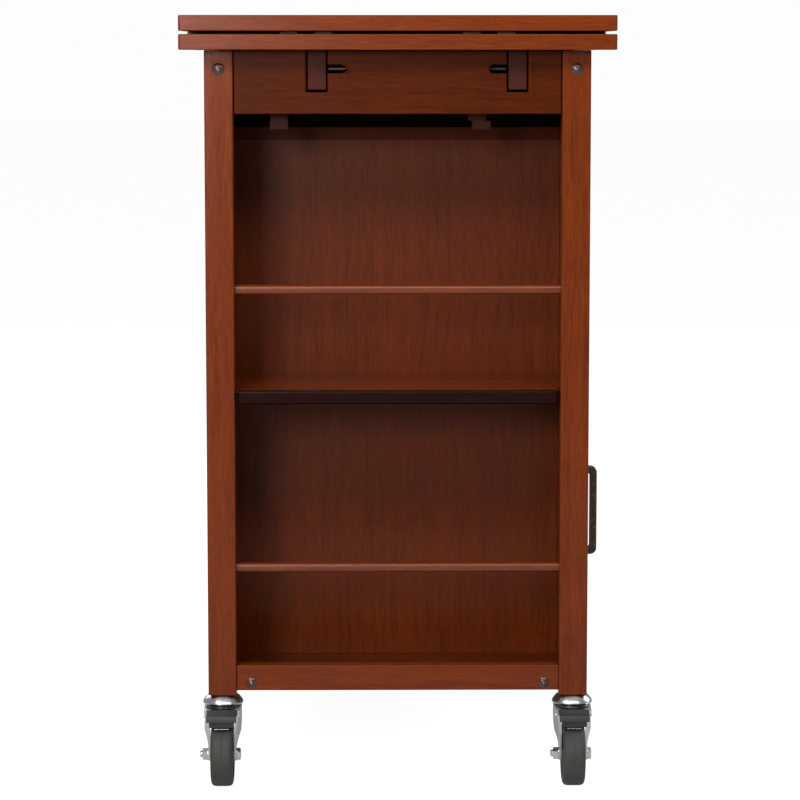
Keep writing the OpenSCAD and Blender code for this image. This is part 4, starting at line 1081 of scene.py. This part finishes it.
class CART_OT_stage(bpy.types.Operator):
    """Adds the floor, the soft lights and the camera"""

    bl_idname = "cart.stage"
    bl_label = "Floor, lights and camera"

    def execute(self, context):
        stage = context.scene.cart_stage
        scene = context.scene
        self.floor(stage)
        for name, place, target, area in LIGHTS:
            self.light(f"{name}_light", place, target, area, getattr(stage, name))
        world = bpy.data.worlds.new("studio")
        world.use_nodes = True
        tree = world.node_tree
        tree.nodes.clear()
        path = add(tree, "ShaderNodeLightPath")
        walls = add(tree, "ShaderNodeMath", {0: path.outputs["Is Glossy Ray"], 1: stage.walls}, operation="MULTIPLY")
        strength = add(tree, "ShaderNodeMath", {0: walls.outputs[0], 1: stage.sky}, operation="MAXIMUM")
        lit = add(tree, "ShaderNodeBackground", {"Color": (1, 1, 1, 1), "Strength": strength.outputs[0]})
        seen = add(tree, "ShaderNodeBackground", {"Color": (1, 1, 1, 1), "Strength": 0.98})
        mixed = add(
            tree, "ShaderNodeMixShader", {0: path.outputs["Is Camera Ray"], 1: lit.outputs[0], 2: seen.outputs[0]}
        )
        add(tree, "ShaderNodeOutputWorld", {0: mixed.outputs[0]})
        scene.world = world
        scene.view_settings.view_transform = "Standard"
        self.camera(scene, stage)
        return {"FINISHED"}

    def floor(self, stage):
        """A wide pale floor."""
        shape = bmesh.new()
        bmesh.ops.create_grid(shape, x_segments=1, y_segments=1, size=30)
        mesh = bpy.data.meshes.new("studio_floor")
        shape.to_mesh(mesh)
        shape.free()
        floor = object_of(mesh, "studio_floor")
        material, tree, shader = new_material("studio_floor")
        path = add(tree, "ShaderNodeLightPath")
        mirrored = add(
            tree, "ShaderNodeMath", {0: path.outputs["Is Glossy Ray"], 1: stage.mirrored}, operation="MULTIPLY"
        )
        either = add(
            tree, "ShaderNodeMath", {0: path.outputs["Is Camera Ray"], 1: mirrored.outputs[0]}, operation="MAXIMUM"
        )
        glow = add(tree, "ShaderNodeMath", {0: either.outputs[0], 1: stage.glow}, operation="MULTIPLY")
        join(tree, shader, {
            "Base Color": rgba(stage.floor), "Roughness": 0.9, "Specular IOR Level": 0.0,
            "Emission Color": (1, 1, 1, 1), "Emission Strength": glow.outputs[0],
        })
        mesh.materials.append(material)

    def light(self, name, location, target, area, power):
        """A soft rectangular light that faces a point."""
        lamp = bpy.data.lights.new(name, "AREA")
        lamp.shape = "RECTANGLE"
        lamp.size, lamp.size_y = area
        lamp.energy = power
        light = bpy.data.objects.new(name, lamp)
        bpy.context.scene.collection.objects.link(light)
        light.location = location
        light.rotation_euler = (Vector(target) - Vector(location)).to_track_quat("-Z", "Y").to_euler()
        return light

    def camera(self, scene, stage):
        """The camera stands before the open shelf end, at worktop height, and looks slightly down."""
        data = bpy.data.cameras.new("camera")
        camera = bpy.data.objects.new("camera", data)
        scene.collection.objects.link(camera)
        near_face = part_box("leg_left_front")[0].y
        camera.location = (-stage.aside, near_face - stage.distance, stage.height)
        centre = Vector((2.6 * MM, near_face, stage.aim))
        camera.rotation_euler = (centre - camera.location).to_track_quat("-Z", "Y").to_euler()
        data.shift_y = -stage.rise
        data.lens = stage.lens
        data.sensor_width = 36
        data.clip_end = 100
        scene.camera = camera


PIECES = (
    CART_OT_worktop,
    CART_OT_leg_frame,
    CART_OT_panels,
    CART_OT_drawer,
    CART_OT_door,
    CART_OT_lock_bolts,
    CART_OT_casters,
    CART_OT_stage,
)
SETTINGS = {
    "cart_wood": CartWood,
    "cart_metal": CartMetal,
    "cart_caster": CartCaster,
    "cart_stage": CartStage,
}


class CART_PT_panel(bpy.types.Panel):
    """Lists the steps that dress the cart"""

    bl_idname = "CART_PT_panel"
    bl_label = "Kitchen cart"
    bl_space_type = "VIEW_3D"
    bl_region_type = "UI"
    bl_category = "Cart"

    def draw(self, context):
        for piece in PIECES:
            self.layout.operator(piece.bl_idname)
        for name, group in SETTINGS.items():
            box = self.layout.box()
            for prop in group.__annotations__:
                box.prop(getattr(context.scene, name), prop)


def register():
    for cls in (*SETTINGS.values(), *PIECES, CART_PT_panel):
        bpy.utils.register_class(cls)
    for name, group in SETTINGS.items():
        setattr(bpy.types.Scene, name, PointerProperty(type=group))


def unregister():
    for name in SETTINGS:
        delattr(bpy.types.Scene, name)
    for cls in reversed((*SETTINGS.values(), *PIECES, CART_PT_panel)):
        bpy.utils.unregister_class(cls)


def main():
    register()
    for piece in PIECES:
        group, action = piece.bl_idname.split(".")
        getattr(getattr(bpy.ops, group), action)()


if __name__ == "__main__":
    main()
